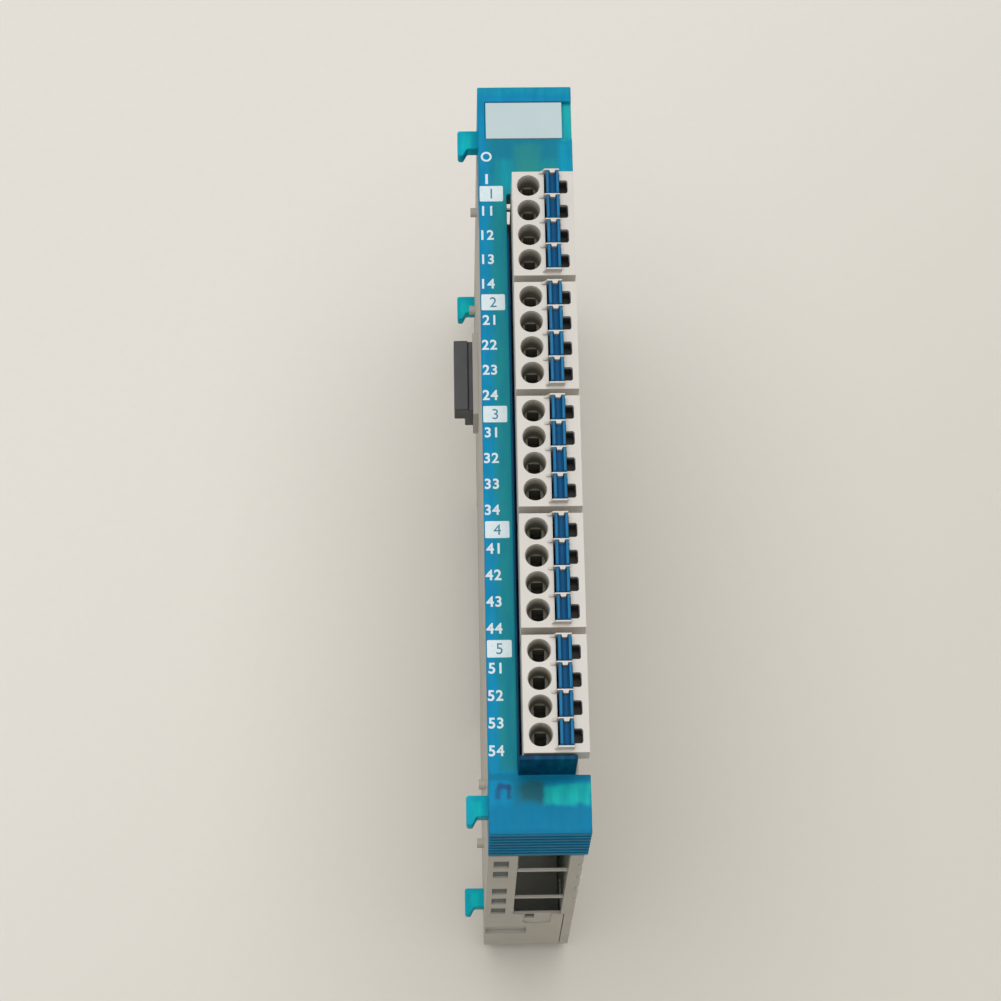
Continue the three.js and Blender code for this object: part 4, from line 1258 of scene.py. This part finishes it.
@dataclass
class FrontCover:
    """The tinted cover with its marker plate and print.

    Attributes:
        layout: The shared places.
        figure_height: The height of the figures.
        figure_x: The middle of the pole numbers.
        number_weight: How much the strokes of the pole numbers are widened.
        tag_x: The middle of the white tags.
        tag_size: The width and length of a tag.
        tag_above: How far a tag stands above its plug's first pole.
        corner: The radius of a tag's corners.
        mark_places: Y of the ring and the bar beside the status lights.
        mark_ring: Inner and outer radius of the ring.
        mark_bar: The width and length of the bar.
        lift: The thickness of the print.
        lip_x: The two sides of the lip beside the plugs.
        lip_y: Its two ends.
        lip_z: Its bottom and top, from the front plane.
        lip_chamfer: The width and height of the chamfer at its top.
    """

    layout: Layout
    figure_height: float = 1.4
    figure_x: float = -5.18
    number_weight: float = 0.022
    tag_x: float = -4.6
    tag_size: Pair = (3.06, 2.25)
    tag_above: float = 2.5
    corner: float = 0.16
    mark_places: Pair = (40.55, 37.25)
    mark_ring: Pair = (0.46, 0.72)
    mark_bar: Pair = (0.34, 1.44)
    lift: float = 0.02
    lip_x: Pair = (-2.62, -2.28)
    lip_y: Pair = (-42.9, 29.2)
    lip_z: Pair = (-3.2, -0.2)
    lip_chamfer: Pair = (0.14, 0.4)

    def build(self, bench: Bench) -> None:
        """Builds and dresses the cover.

        Args:
            bench: The bench.
        """
        palette = bench.palette
        bench.add("cover_lip", self.lip(), palette.lever, Slot.LEVER, radius=0.04)
        bench.dress("front_cover", palette.cover, 0.16, 3)
        bench.dress("marker_plate", palette.marker, 0.05, 3)
        bench.add("cover_numbers", self.pole_numbers(), palette.white_ink, Slot.MARKER)
        bench.add("cover_tags", self.tags(), palette.white_ink, Slot.MARKER)
        bench.add("tag_figures", self.tag_figures(), palette.blue_ink, Slot.COVER)
        bench.add("status_marks", self.status_marks(), palette.white_ink, Slot.MARKER)

    def lip(self) -> Shape:
        """The thin lip of the strip, which closes most of the gap to the plugs; its dark blue is the lever
        finish's painted shade.

        Returns:
            The lip.
        """
        left, right = self.lip_x
        low, high = (self.layout.front + z for z in self.lip_z)
        width, height = self.lip_chamfer
        outline = [(left, low), (right, low), (right, high - height), (right - width, high), (left, high)]
        return Shape().prism(outline, Axis.Y, self.lip_y)

    def pole_numbers(self) -> Shape:
        """The two-figure number of every pole, in white.

        Returns:
            The numbers as one shape.
        """
        shape = Shape()
        height = self.layout.front + self.lift / 2
        for plug in range(self.layout.plugs):
            for pole in range(self.layout.poles):
                middle = (self.figure_x, self.layout.pole(plug, pole), height)
                words = f"{plug + 1}{pole + 1}"
                shape.text(words, middle, self.figure_height, self.lift, self.number_weight)
        return shape

    def tag_outline(self, middle: Pair) -> list[Pair]:
        """The outline of a tag with rounded corners.

        Args:
            middle: Its middle.

        Returns:
            The points of the outline.
        """
        half_x, half_y = (size / 2 - self.corner for size in self.tag_size)
        points = []
        for side_x, side_y, turn in ((1, 1, 0), (-1, 1, 90), (-1, -1, 180), (1, -1, 270)):
            for angle in (math.radians(turn + step) for step in (0, 30, 60, 90)):
                x = middle[0] + side_x * half_x + self.corner * math.cos(angle)
                y = middle[1] + side_y * half_y + self.corner * math.sin(angle)
                points.append((x, y))
        return points

    def tag_y(self, plug: int) -> float:
        """Y of the tag of a plug."""
        return self.layout.pole(plug, 0) + self.tag_above

    def tags(self) -> Shape:
        """The white tags.

        Returns:
            The tags as one shape.
        """
        shape = Shape()
        ends = (self.layout.front, self.layout.front + self.lift)
        for plug in range(self.layout.plugs):
            shape.prism(self.tag_outline((self.tag_x, self.tag_y(plug))), Axis.Z, ends)
        return shape

    def tag_figures(self) -> Shape:
        """The thin figure on each tag.

        Returns:
            The figures as one shape.
        """
        shape = Shape()
        for plug in range(self.layout.plugs):
            middle = (self.tag_x, self.tag_y(plug), self.layout.front + self.lift * 1.5)
            shape.text(str(plug + 1), middle, self.figure_height, self.lift)
        return shape

    def status_marks(self) -> Shape:
        """A ring and a bar beside the two status lights.

        Returns:
            The marks as one shape.
        """
        ring_y, bar_y = self.mark_places
        width, length = self.mark_bar
        low, high = self.layout.front, self.layout.front + self.lift
        inner, outer = self.mark_ring
        profile = [(0.0, inner), (0.0, outer), (self.lift, outer), (self.lift, inner)]
        shape = Shape().ring((self.figure_x, ring_y, low), profile)
        return shape.block(around(self.figure_x, width), around(bar_y, length), (low, high))


@dataclass
class PressLever:
    """The blue lever that opens one clamp: a stem with two rounded ridges, and a foot.

    Attributes:
        middle: X of its middle.
        width: Its width.
        length: Its length along Y.
        rim: How far its ridges stand above the plug's face.
        reach: How far its foot lies below that face.
        channel: The width of the channel between the ridges.
        depth: The depth of the channel.
        swell: How far the channel's floor swells at its middle and sinks at its sides.
        crown: How far a ridge would fall away at the ends of its arch.
        arch: Which part of that arch a ridge's section takes.
        fullness: How round the arch is, from 1 for a wave down to 0 for a flat top.
        notch: The depth of the notch at the far end.
        notch_tip: Half the notch's width at its bottom.
        notch_mouth: Half the notch's width at its mouth.
        near_slope: The length of the slope at the near end, and its depth on a ridge.
        far_slope: The same at the far end.
        channel_slope: The depth of the near slope in the channel.
        stations: Where the top has points, as shares of the length.
        foot_left: How far the foot goes to the left.
        foot_lap: How far the foot goes into the stem.
        foot_height: The height of the foot.
    """

    middle: float = 3.13
    width: float = 1.64
    length: float = 3.14
    rim: float = 1.15
    reach: float = 6.8
    channel: float = 0.84
    depth: float = 0.5
    swell: float = 0.05
    crown: float = 0.3
    arch: Pair = (0.12, 0.88)
    fullness: float = 0.6
    notch: float = 0.38
    notch_tip: float = 0.31
    notch_mouth: float = 0.43
    near_slope: Pair = (0.3, 0.24)
    far_slope: Pair = (0.12, 0.06)
    channel_slope: float = 0.16
    stations: tuple[float, ...] = (0, 0.03, 0.06, 0.1, 0.2, 0.4, 0.6, 0.8, 0.94, 0.98, 1)
    foot_left: float = 1.3
    foot_lap: float = 0.2
    foot_height: float = 1.4

    def section(self, x: float) -> float:
        """The height of the top at a distance from the middle.

        Args:
            x: The distance.

        Returns:
            The height above the plug's face.
        """
        side = abs(x)
        half = self.channel / 2
        if side <= half:
            return self.rim - self.depth + self.swell * math.cos(math.pi * side / half)
        share = (side - half) / (self.width / 2 - half)
        start, end = self.arch
        height = math.sin(math.pi * min(1.0, max(0.0, start + share * (end - start))))
        return self.rim - self.crown * (1 - height**self.fullness)

    def top(self, x: float, share: float) -> Point:
        """A point of the top, with the far end notched and the near end sloped.

        Args:
            x: The distance from the middle.
            share: The share of the length, from the near end.

        Returns:
            The point, from the lever's own middle on the plug's face.
        """
        mouth = min(1.0, max(0.0, (self.notch_mouth - abs(x)) / (self.notch_mouth - self.notch_tip)))
        length = self.length - self.notch * mouth
        y = -self.length / 2 + length * share
        near = max(0.0, 1 - (y + self.length / 2) / self.near_slope[0])
        far = max(0.0, 1 - (self.length / 2 - y) / self.far_slope[0])
        if abs(x) > self.channel / 2:
            slope = self.near_slope[1] * near**2 + self.far_slope[1] * far
        else:
            slope = self.channel_slope * near**2
        return x, y, self.section(x) - slope

    def build(self, bench: Bench, name: str, y: float, face: float) -> None:
        """Builds the lever of one pole.

        Args:
            bench: The bench.
            name: The name of its node and body.
            y: Y of its pole.
            face: Z of the plug's face.
        """
        half, groove, tip = self.width / 2, self.channel / 2, self.notch_tip
        ridge = [groove + (half - groove) * i / 7 for i in range(8)]
        inner = [tip * 0.2, tip * 0.6, tip, groove - 0.001]
        right = inner + ridge
        across = [-x for x in reversed(right)] + right
        shape = Shape().sheet(across, self.stations, self.top, -self.reach)
        shape.block(
            (-half - self.foot_left, -half + self.foot_lap),
            (-self.length / 2, self.length / 2 - self.notch),
            (-self.reach, -self.reach + self.foot_height),
        )
        bmesh.ops.translate(shape.mesh, vec=(self.middle, y, face), verts=shape.mesh.verts)
        bench.add(f"{name}_formed", shape, bench.palette.lever, Slot.LEVER, name, body=name, smooth=42)


@dataclass
class TerminalPlug:
    """One pull-off plug: housing, clamps, four levers and the small ears beside them.

    Attributes:
        layout: The shared places.
        index: Which plug it is, from 0 at the marker end.
        lever: The lever that every pole has.
        strip_left: X of the foot of the bars between the levers.
        ear: The width and height of an ear.
        ear_foot: How far its foot goes into the bar and into the face.
        ear_tip: How far its tip lies inside the bar.
        ear_length: Its length along Y.
        test_x: The two sides of the test openings.
        test_y: How far a test opening goes below and above its pole.
        test_depth: How deep it is.
        insert_floor: The thickness of the floor of the insert in it.
        insert_top: How far the top of the insert's wall lies below the face.
        insert_wall: The thickness of that wall at its top and at its foot.
        insert_ramp: The length and height of the ramp at the wall's foot.
        hole_x: X of the middle of the wire holes.
        hole_radii: The radius of a wire hole at its floor and at the face.
        hole_depth: How deep its floor lies.
        throat: The width and length of the opening in that floor.
        throat_depth: How deep that opening goes.
        shade_lining_top: How far the top of a hole's shade lining lies below the face.
        skin: The thickness of a hole's shade lining.
    """

    layout: Layout
    index: int
    lever: PressLever = field(default_factory=PressLever)
    strip_left: float = 1.6
    ear: Pair = (0.42, 0.62)
    ear_foot: Pair = (0.5, 0.1)
    ear_tip: float = 0.42
    ear_length: float = 0.34
    test_x: Pair = (3.99, 5.09)
    test_y: Pair = (1.15, 0.7)
    test_depth: float = 2.3
    insert_floor: float = 0.12
    insert_top: float = 0.5
    insert_wall: Pair = (0.1, 0.14)
    insert_ramp: Pair = (0.34, 0.3)
    hole_x: float = 0.04
    hole_radii: Pair = (1.2, 1.475)
    hole_depth: float = 2.8
    throat: Pair = (1.55, 1.9)
    throat_depth: float = 5.1
    shade_lining_top: float = 0.3
    skin: float = 0.03

    @property
    def name(self) -> str:
        """The name of the plug's body."""
        return f"plug_{self.index + 1}"

    @property
    def poles(self) -> list[float]:
        """Y of each of its poles."""
        return [self.layout.pole(self.index, pole) for pole in range(self.layout.poles)]

    def build(self, bench: Bench) -> None:
        """Builds and dresses the plug.

        Args:
            bench: The bench.
        """
        palette, name = bench.palette, self.name
        bench.dress(f"{name}_housing", palette.plug, 0.1)
        bench.dress(f"{name}_clamps", palette.spring, 0)
        for number, y in enumerate(self.poles, 1):
            self.lever.build(bench, f"{name}_lever_{number}", y, self.layout.face)
        bench.add(f"{name}_ears", self.ears(), palette.plug, Slot.PLUG, body=name, radius=0.05)
        bench.add(f"{name}_shaded_test_sockets", self.shaded_test_sockets(), palette.probe, Slot.CONNECTOR, body=name)
        bench.add(f"{name}_hole_shade_linings", self.hole_shade_linings(), palette.guide, Slot.CONNECTOR, body=name)

    def hole_shade_linings(self) -> Shape:
        """Painted shade: a dark lining of each wire hole, with a ledge round its throat, lighter towards the
        face.

        Returns:
            The linings as one shape.
        """
        shape = Shape()
        face, floor = self.layout.face, self.skin - self.hole_depth
        low, high = self.hole_radii
        slope = (high - low) / self.hole_depth
        outer = [(height, high + slope * height - PLAY) for height in (floor - SINK, -self.shade_lining_top)]
        inner = [(height, radius - self.skin) for height, radius in outer[::-1]]
        for y in self.poles:
            shape.ring((self.hole_x, y, face), outer + inner)
            for outline in self.ledges(y, low - SINK):
                shape.prism(outline, Axis.Z, (face + floor - SINK, face + floor))
            self.collar(shape, y)
        return shape

    def collar(self, shape: Shape, y: float) -> None:
        """Adds the dark lining of a throat, which is painted shade.

        Args:
            shape: The linings so far.
            y: Y of the hole.
        """
        half_x, half_y = (size / 2 - PLAY for size in self.throat)
        ends = (self.layout.face - self.throat_depth, self.layout.face - self.hole_depth - SINK)
        for side in (-1, 1):
            wall = sorted((side * half_y, side * (half_y - self.skin)))
            shape.block(around(self.hole_x, 2 * half_x), (y + wall[0], y + wall[1]), ends)
            wall = sorted((side * half_x, side * (half_x - self.skin)))
            length = 2 * (half_y - self.skin - PLAY)
            shape.block((self.hole_x + wall[0], self.hole_x + wall[1]), around(y, length), ends)

    def ledges(self, y: float, radius: float) -> list[list[Pair]]:
        """The four parts of a wire hole's floor beside its throat.

        Args:
            y: Y of the hole.
            radius: The radius of the floor.

        Returns:
            The outline of each part.
        """
        outlines = []
        for turn, half in enumerate((self.throat[0] / 2, self.throat[1] / 2) * 2):
            reach = math.acos((half + PLAY) / radius)
            way = turn * math.pi / 2
            angles = [way + reach * (step / 5 - 1) for step in range(11)]
            outlines.append([(self.hole_x + radius * math.cos(a), y + radius * math.sin(a)) for a in angles])
        return outlines

    def ears(self) -> Shape:
        """The wedge at the left end of each bar between the levers.

        Returns:
            The wedges as one shape.
        """
        shape = Shape()
        width, height = self.ear
        root, sunk = self.ear_foot
        left, face = self.strip_left, self.layout.face
        foot = [(left - width, face - sunk), (left + root, face - sunk)]
        outline = [*foot, (left + self.ear_tip, face + height)]
        for y in self.poles:
            shape.prism(outline, Axis.Y, around(y + self.layout.pitch / 2, self.ear_length))
        return shape

    def shaded_test_sockets(self) -> Shape:
        """The dark insert in each test opening: a floor with a raised far end, whose dark colour is partly
        painted shade of the deep opening.

        Returns:
            The inserts as one shape.
        """
        shape = Shape()
        low = self.layout.face - self.test_depth
        high = self.layout.face - self.insert_top
        tip, foot = self.insert_wall
        length, height = self.insert_ramp
        for y in self.poles:
            near, far = y - self.test_y[0], y + self.test_y[1]
            outline = [
                (near, low - SINK),
                (far + SINK, low - SINK),
                (far + SINK, high),
                (far - tip, high - tip),
                (far - foot, low + height),
                (far - length, low + self.insert_floor),
                (near, low + self.insert_floor),
            ]
            shape.prism(outline, Axis.X, self.test_x)
        return shape


@dataclass
class Housing:
    """The two halves of the housing, with baffled vents and the marks that a mould leaves.

    Attributes:
        layout: The shared places.
        pin_places: Y and Z of the round marks that the mould's pins leave.
        pin_profile: The section of such a mark, as depth below the side and radius.
        vent_x: The two sides of the vents in the end walls.
        vent_z: The middle of each vent.
        vent_height: The height of a vent.
        baffle_gap: The gap between a baffle and its vent's walls.
        baffle_depth: How far the baffles lie behind the end walls' outside.
        baffle_skin: The thickness of a baffle.
        slats: How many slats a baffle has.
        slat: How far a slat stands out, and how far it goes below and above its middle.
    """

    layout: Layout
    pin_places: tuple[Pair, ...] = (
        (-44, 30),
        (-24, 48),
        (0, 52),
        (40, 46),
        (44, 12),
        (-44, 4),
        (20, 8),
        (-20, 8),
    )
    pin_profile: tuple[Pair, ...] = (
        (0.1, 1.3),
        (-0.02, 1.3),
        (-0.05, 1.26),
        (-0.05, 1.06),
        (-0.01, 1.0),
        (0.02, 0.3),
    )
    vent_x: Pair = (-5.5, -3.55)
    vent_z: tuple[float, ...] = (50.6, 44.8, 34.6, 28.5, 22.2)
    vent_height: float = 3.7
    baffle_gap: float = 0.02
    baffle_depth: float = 0.4
    baffle_skin: float = 0.2
    slats: int = 3
    slat: Point = (0.25, 0.2, 0.3)

    def build(self, bench: Bench) -> None:
        """Builds and dresses the housing.

        Args:
            bench: The bench.
        """
        palette = bench.palette
        bench.add("vent_baffles", self.baffles(), palette.baffle, Slot.CONNECTOR, radius=0.04)
        for half in ("housing_left", "housing_right"):
            bench.dress(half, palette.housing, 0, merged=False)
        bench.add("mould_marks", self.pin_marks(), palette.housing, Slot.HOUSING)

    def baffles(self) -> Shape:
        """A slatted baffle in each vent of both end walls, in a darker grey that is partly painted shade of
        the vents.

        Returns:
            The baffles as one shape.
        """
        shape = Shape()
        x = (self.vent_x[0] + self.baffle_gap, self.vent_x[1] - self.baffle_gap)
        out = self.layout.end - self.baffle_depth
        half = self.vent_height / 2 - self.baffle_gap
        reach, below, above = self.slat
        for side in (-1, 1):
            for middle in self.vent_z:
                low, high = middle - half, middle + half
                outline = [(out - self.baffle_skin, low), (out, low)]
                for step in range(self.slats):
                    z = low + (step + 0.5) * 2 * half / self.slats
                    outline += [(out, z - below), (out + reach, z - below), (out, z + above)]
                outline += [(out, high), (out - self.baffle_skin, high)]
                shape.prism([(side * y, z) for y, z in outline], Axis.X, x)
        return shape

    def pin_marks(self) -> Shape:
        """Low round marks on the left side.

        Returns:
            The marks as one shape.
        """
        shape = Shape()
        for place in self.pin_places:
            shape.lathe((self.layout.left, *place), self.pin_profile, Axis.X, 36)
        return shape


@dataclass
class SurfacePart:
    """A small part soldered to the board: a body between two metal ends.

    Attributes:
        length: Its length.
        width: Its width.
        height: Its height.
        cap: The length of each metal end.
        plating: How far the ends stand out from the body.
    """

    length: float = 1.6
    width: float = 0.8
    height: float = 0.5
    cap: float = 0.32
    plating: float = 0.02

    def body(self, shape: Shape, x: float, y: float, z: float) -> None:
        """Adds its body, lying along Z on the board's face at X, about a middle on Y and Z."""
        shape.block((x, x + self.height), around(y, self.width), around(z, self.length - 2 * self.cap))

    def ends(self, shape: Shape, x: float, y: float, z: float) -> None:
        """Adds its metal ends.

        Args:
            shape: The shape that they are added to.
            x: The board's face.
            y: The middle of the part.
            z: The middle of the part.
        """
        height, width = self.height + self.plating, self.width + 2 * self.plating
        offset = (self.length - self.cap) / 2
        for side in (-offset, offset):
            shape.block((x, x + height), around(y, width), around(z + side, self.cap))


@dataclass
class BoardAssembly:
    """The circuit board with its headers and electronic parts.

    Attributes:
        layout: The shared places.
        chips: For each chip, Y, Z, length, height and thickness.
        leg_pitch: The pitch of a chip's legs.
        leg_width: The width of a leg.
        cans: Y and Z of the two capacitors.
        can_radius: Their radius.
        can_length: Their length.
        rows: Y and Z of the first small part of each row, and how many it has.
        row_pitch: The pitch of the parts of a row.
        row_shift: How far some parts of a row stand above the others.
        empty: The share of a row's places that have no part.
        seed: What the choice of those parts and places starts from.
        small: The small part.
    """

    layout: Layout
    chips: tuple[tuple[float, ...], ...] = ((-14, 22, 9, 9, 1.4), (3, 34, 7, 7, 1.2))
    leg_pitch: float = 0.8
    leg_width: float = 0.3
    cans: tuple[Pair, ...] = ((3, 20), (3, 13))
    can_radius: float = 2.5
    can_length: float = 5.4
    rows: tuple[tuple[float, float, int], ...] = (
        (-37, 10, 9),
        (-22, 38, 12),
        (10, 12, 11),
        (11, 30, 5),
        (-40, 44, 3),
        (-8, 8, 5),
        (34, 26, 4),
    )
    row_pitch: float = 2.1
    row_shift: float = 2.3
    empty: float = 0.15
    seed: int = 7
    small: SurfacePart = field(default_factory=SurfacePart)

    def build(self, bench: Bench) -> None:
        """Builds and dresses the board and all that it carries.

        Args:
            bench: The bench.
        """
        palette = bench.palette
        bench.dress("circuit_board", palette.board, 0)
        for plug in range(self.layout.plugs):
            bench.dress(f"header_{plug + 1}", palette.header, 0.08, merged=False)
        for name in ("converter_chip", "processor_chip", "transformer"):
            bench.dress(name, palette.chip, 0.12)
        for name in ("status_light_1", "status_light_2"):
            bench.dress(name, palette.lamp, 0.1)
        bench.dress("light_guide", palette.clear, 0.08)
        for number, place in enumerate(self.cans, 1):
            node = f"capacitor_{number}"
            bench.add(f"{node}_turned", self.can(place), palette.can, Slot.CAN, node)
        bodies, ends = self.small_parts()
        bench.add("small_parts", bodies, palette.chip, Slot.CHIP, radius=0.05, segments=1)
        bench.add("small_part_ends", ends, palette.spring, Slot.SPRING, radius=0.04, segments=1)
        bench.add("chip_legs", self.chip_legs(), palette.spring, Slot.SPRING)

    def can(self, place: Pair) -> Shape:
        """A capacitor's can, crimped near its base and rounded at its top.

        Args:
            place: Its Y and Z.

        Returns:
            The can.
        """
        radius, length = self.can_radius, self.can_length
        base = [(0.1, 0.25), (0.15, 0.02), (0.9, 0.02), (1.1, 0.2), (1.35, 0.2), (1.55, 0.01)]
        top = [(0.35, 0.01), (0.1, 0.12), (0.01, 0.4), (0.06, 0.6)]
        profile = [(height, radius - inset) for height, inset in base]
        profile += [(length - drop, radius - inset) for drop, inset in top]
        profile.append((length - 0.06, 0.2))
        return Shape().lathe((self.layout.board_right, *place), profile, Axis.X, 44)

    def small_parts(self) -> tuple[Shape, Shape]:
        """The rows of small parts.

        Returns:
            Their bodies and their metal ends.
        """
        bodies, ends = Shape(), Shape()
        chance = random.Random(self.seed)
        for y, z, count in self.rows:
            for i in range(count):
                if chance.random() < self.empty:
                    continue
                shift = chance.choice((0, 0, self.row_shift))
                place = (self.layout.board_right, y + i * self.row_pitch, z + shift)
                self.small.body(bodies, *place)
                self.small.ends(ends, *place)
        return bodies, ends

    def leg_outline(self, side: int, edge: float, thickness: float) -> list[Pair]:
        """The bent outline of a leg on X and Z.

        Args:
            side: -1 for the chip's lower side and 1 for its upper one.
            edge: Z of that side.
            thickness: The chip's thickness.

        Returns:
            The points of the outline.
        """
        high, low = 0.55 * thickness, 0.45 * thickness
        outer = [(high, -0.1), (high, 0.3), (0.14, 0.45), (0.14, 0.9)]
        inner = [(0.02, 0.9), (0.02, 0.34), (low, 0.2), (low, -0.1)]
        return [(self.layout.board_right + x, edge + side * z) for x, z in outer + inner]

    def chip_legs(self) -> Shape:
        """The bent legs along two sides of each chip.

        Returns:
            The legs as one shape.
        """
        shape = Shape()
        for y, z, length, height, thickness in self.chips:
            count = int(length / self.leg_pitch)
            for i in range(count):
                ends = around(y + (i - (count - 1) / 2) * self.leg_pitch, self.leg_width)
                for side in (-1, 1):
                    outline = self.leg_outline(side, z + side * height / 2, thickness)
                    shape.prism(outline, Axis.Y, ends)
        return shape


@dataclass
class BusLink:
    """The bus plug on the left, the socket on the right, and their contacts.

    Attributes:
        middle: Y of both.
        height: Z of both.
        pitch: The pitch of the contacts.
        count: How many contacts there are in a row.
        plug_x: X of the ends of the plug's contacts.
        plug_row: How far its rows lie from the middle, and the thickness of their contacts.
        socket_x: X of the ends of the socket's contacts.
        socket_row: How far its rows lie from the middle, and the thickness of their contacts.
    """

    middle: float = 23.8
    height: float = 31.0
    pitch: float = 0.8
    count: int = 8
    plug_x: Pair = (-9.55, -8.95)
    plug_row: Pair = (0.42, 0.1)
    socket_x: Pair = (1.9, 3.9)
    socket_row: Pair = (0.53, 0.06)

    def build(self, bench: Bench) -> None:
        """Builds and dresses the bus connectors.

        Args:
            bench: The bench.
        """
        palette = bench.palette
        bench.dress("bus_plug", palette.connector, 0.16, 3)
        bench.dress("bus_socket", palette.connector, 0.12)
        contacts = self.contacts(self.plug_x, *self.plug_row)
        bench.add("bus_plug_contacts", contacts, palette.contact, Slot.SPRING)
        contacts = self.contacts(self.socket_x, *self.socket_row)
        bench.add("bus_socket_contacts", contacts, palette.contact, Slot.SPRING)

    def contacts(self, x: Pair, offset: float, thickness: float) -> Shape:
        """Two rows of flat contacts, each half as wide as their pitch.

        Args:
            x: X of their ends.
            offset: How far each row lies from the middle.
            thickness: Their thickness.

        Returns:
            The contacts as one shape.
        """
        shape = Shape()
        for i in range(self.count):
            y = around(self.middle + (i - (self.count - 1) / 2) * self.pitch, self.pitch / 2)
            for side in (-1, 1):
                shape.block(x, y, around(self.height + side * offset, thickness))
        return shape


@dataclass
class LockBars:
    """The two sliding bars whose hooks hold the next module.

    Attributes:
        names: What the names of each bar's node, spring and joint start with.
        rounding: The rounding of their edges.
    """

    names: tuple[str, ...] = ("lower_lock", "upper_lock")
    rounding: float = 0.15

    def build(self, bench: Bench) -> None:
        """Dresses the bars and their springs.

        Args:
            bench: The bench.
        """
        for name in self.names:
            bench.dress(f"{name}_bar", bench.palette.lock, self.rounding, 3)
            bench.spring(f"{name}_spring", f"{name}_leaf", f"{name}_bar", f"{name}_slide")


@dataclass
class RailLatch:
    """The sprung latch that holds the rail.

    Attributes:
        rounding: The rounding of its edges.
        rounds: How many times the facets of its coil are halved.
    """

    rounding: float = 0.08
    rounds: int = 1

    def build(self, bench: Bench) -> None:
        """Dresses the latch and its coil spring.

        Args:
            bench: The bench.
        """
        bench.dress("rail_latch", bench.palette.latch, self.rounding, 3)
        coil = bench.spring("rail_latch_spring", "rail_latch_coil", HOUSING, "rail_latch_slide")
        rounder = coil.modifiers.new("rounder", "SUBSURF")
        rounder.levels = rounder.render_levels = self.rounds


# ------------------------------------------------------------------------------------------------
# Studio
# ------------------------------------------------------------------------------------------------


@dataclass
class Studio:
    """A pale paper floor, one wide lamp and the camera above the module's front.

    Attributes:
        layout: The shared places.
        camera_place: Where the camera stands, in metres.
        camera_turn: How it is turned, in radians about X, Y and Z.
        lens: Its focal length in millimetres.
        sky: How bright the room is.
        tint: The colour of the room's light.
        backdrop: The colour that shows far behind the module.
        lamp_place: Where the lamp stands, in metres.
        lamp_aim: The point that it shines at, in metres.
        lamp_size: Its width, in metres.
        lamp_power: Its power in watts.
        paper_side: How far the paper goes to each side, in millimetres.
        paper_rise: The paper's section from where it starts to rise, as Y and height in millimetres.
    """

    layout: Layout
    camera_place: Point = (-0.01103547, -0.12700020, 0.38836794)
    camera_turn: Point = (0.35498983, -0.01511177, -0.01722914)
    lens: float = 97.758
    sky: float = 0.3
    tint: Colour = (1.0, 0.99, 0.97)
    backdrop: Colour = screen(210, 206, 197)
    lamp_place: Point = (-0.06, 0.16, 1.6)
    lamp_aim: Point = (0, 0, 0.04)
    lamp_size: float = 2.0
    lamp_power: float = 23.2
    paper_side: float = 4000.0
    paper_rise: tuple[Pair, ...] = ((2200, 0), (2500, 50), (2700, 200), (2800, 500), (2830, 1300))

    def build(self) -> None:
        """Builds the floor, the light and the camera."""
        self.floor()
        self.room()
        self.lamp()
        self.camera()
        bpy.context.scene.view_settings.view_transform = "Standard"
        LOG.info("studio ready")

    def floor(self) -> None:
        """A sheet of paper under the module that curves up far before and far behind it."""
        shape = Shape()
        new = shape.mesh.verts.new
        profile = [(-y, z) for y, z in reversed(self.paper_rise)] + list(self.paper_rise)
        sides = (-self.paper_side, self.paper_side)
        rows = [[new((x, y, self.layout.rear + z)) for x in sides] for y, z in profile]
        for near, far in zip(rows, rows[1:]):
            shape.mesh.faces.new((near[0], near[1], far[1], far[0]))
        paper = PaperFloor("paper", screen(232, 228, 220), screen(218, 213, 203), self.backdrop).make()
        shape.finished("paper_floor", paper, 60)

    def room(self) -> None:
        """The even light of the room, and the pale backdrop that is seen beyond the floor."""
        world = bpy.data.worlds.new("room")
        world.use_nodes = True
        tree = world.node_tree
        sky = tree.nodes["Background"]
        sky.inputs["Color"].default_value = (*self.tint, 1)
        sky.inputs["Strength"].default_value = self.sky
        backdrop = tree.nodes.new("ShaderNodeBackground")
        backdrop.inputs["Color"].default_value = (*self.backdrop, 1)
        surface = mixed(tree, seen_rays(tree), sky.outputs[0], backdrop.outputs[0])
        tree.links.new(surface, tree.nodes["World Output"].inputs["Surface"])
        bpy.context.scene.world = world

    def lamp(self) -> None:
        """The wide soft lamp high above the module."""
        data = bpy.data.lights.new("key", "AREA")
        data.shape = "DISK"
        data.size = self.lamp_size
        data.energy = self.lamp_power
        lamp = bpy.data.objects.new("key", data)
        lamp.location = self.lamp_place
        way = Vector(self.lamp_aim) - lamp.location
        lamp.rotation_euler = way.to_track_quat("-Z", "Y").to_euler()
        lamp.visible_camera = False
        bpy.context.scene.collection.objects.link(lamp)

    def camera(self) -> None:
        """The camera at the angle of the photograph."""
        data = bpy.data.cameras.new("camera")
        data.lens = self.lens
        data.sensor_width = SENSOR
        data.clip_start, data.clip_end = 0.01, 20
        camera = bpy.data.objects.new("camera", data)
        camera.location = self.camera_place
        camera.rotation_euler = Euler(self.camera_turn, "XYZ")
        bpy.context.scene.collection.objects.link(camera)
        bpy.context.scene.camera = camera


def main() -> None:
    """Builds the module and its studio in order."""
    logging.basicConfig(level=logging.INFO, format="%(message)s")
    layout = Layout()
    bench = Bench()
    parts = [
        FrontCover(layout),
        Housing(layout),
        BoardAssembly(layout),
        *(TerminalPlug(layout, index) for index in range(layout.plugs)),
        BusLink(),
        LockBars(),
        RailLatch(),
    ]
    for part in parts:
        part.build(bench)
    Studio(layout).build()


if __name__ == "__main__":
    main()
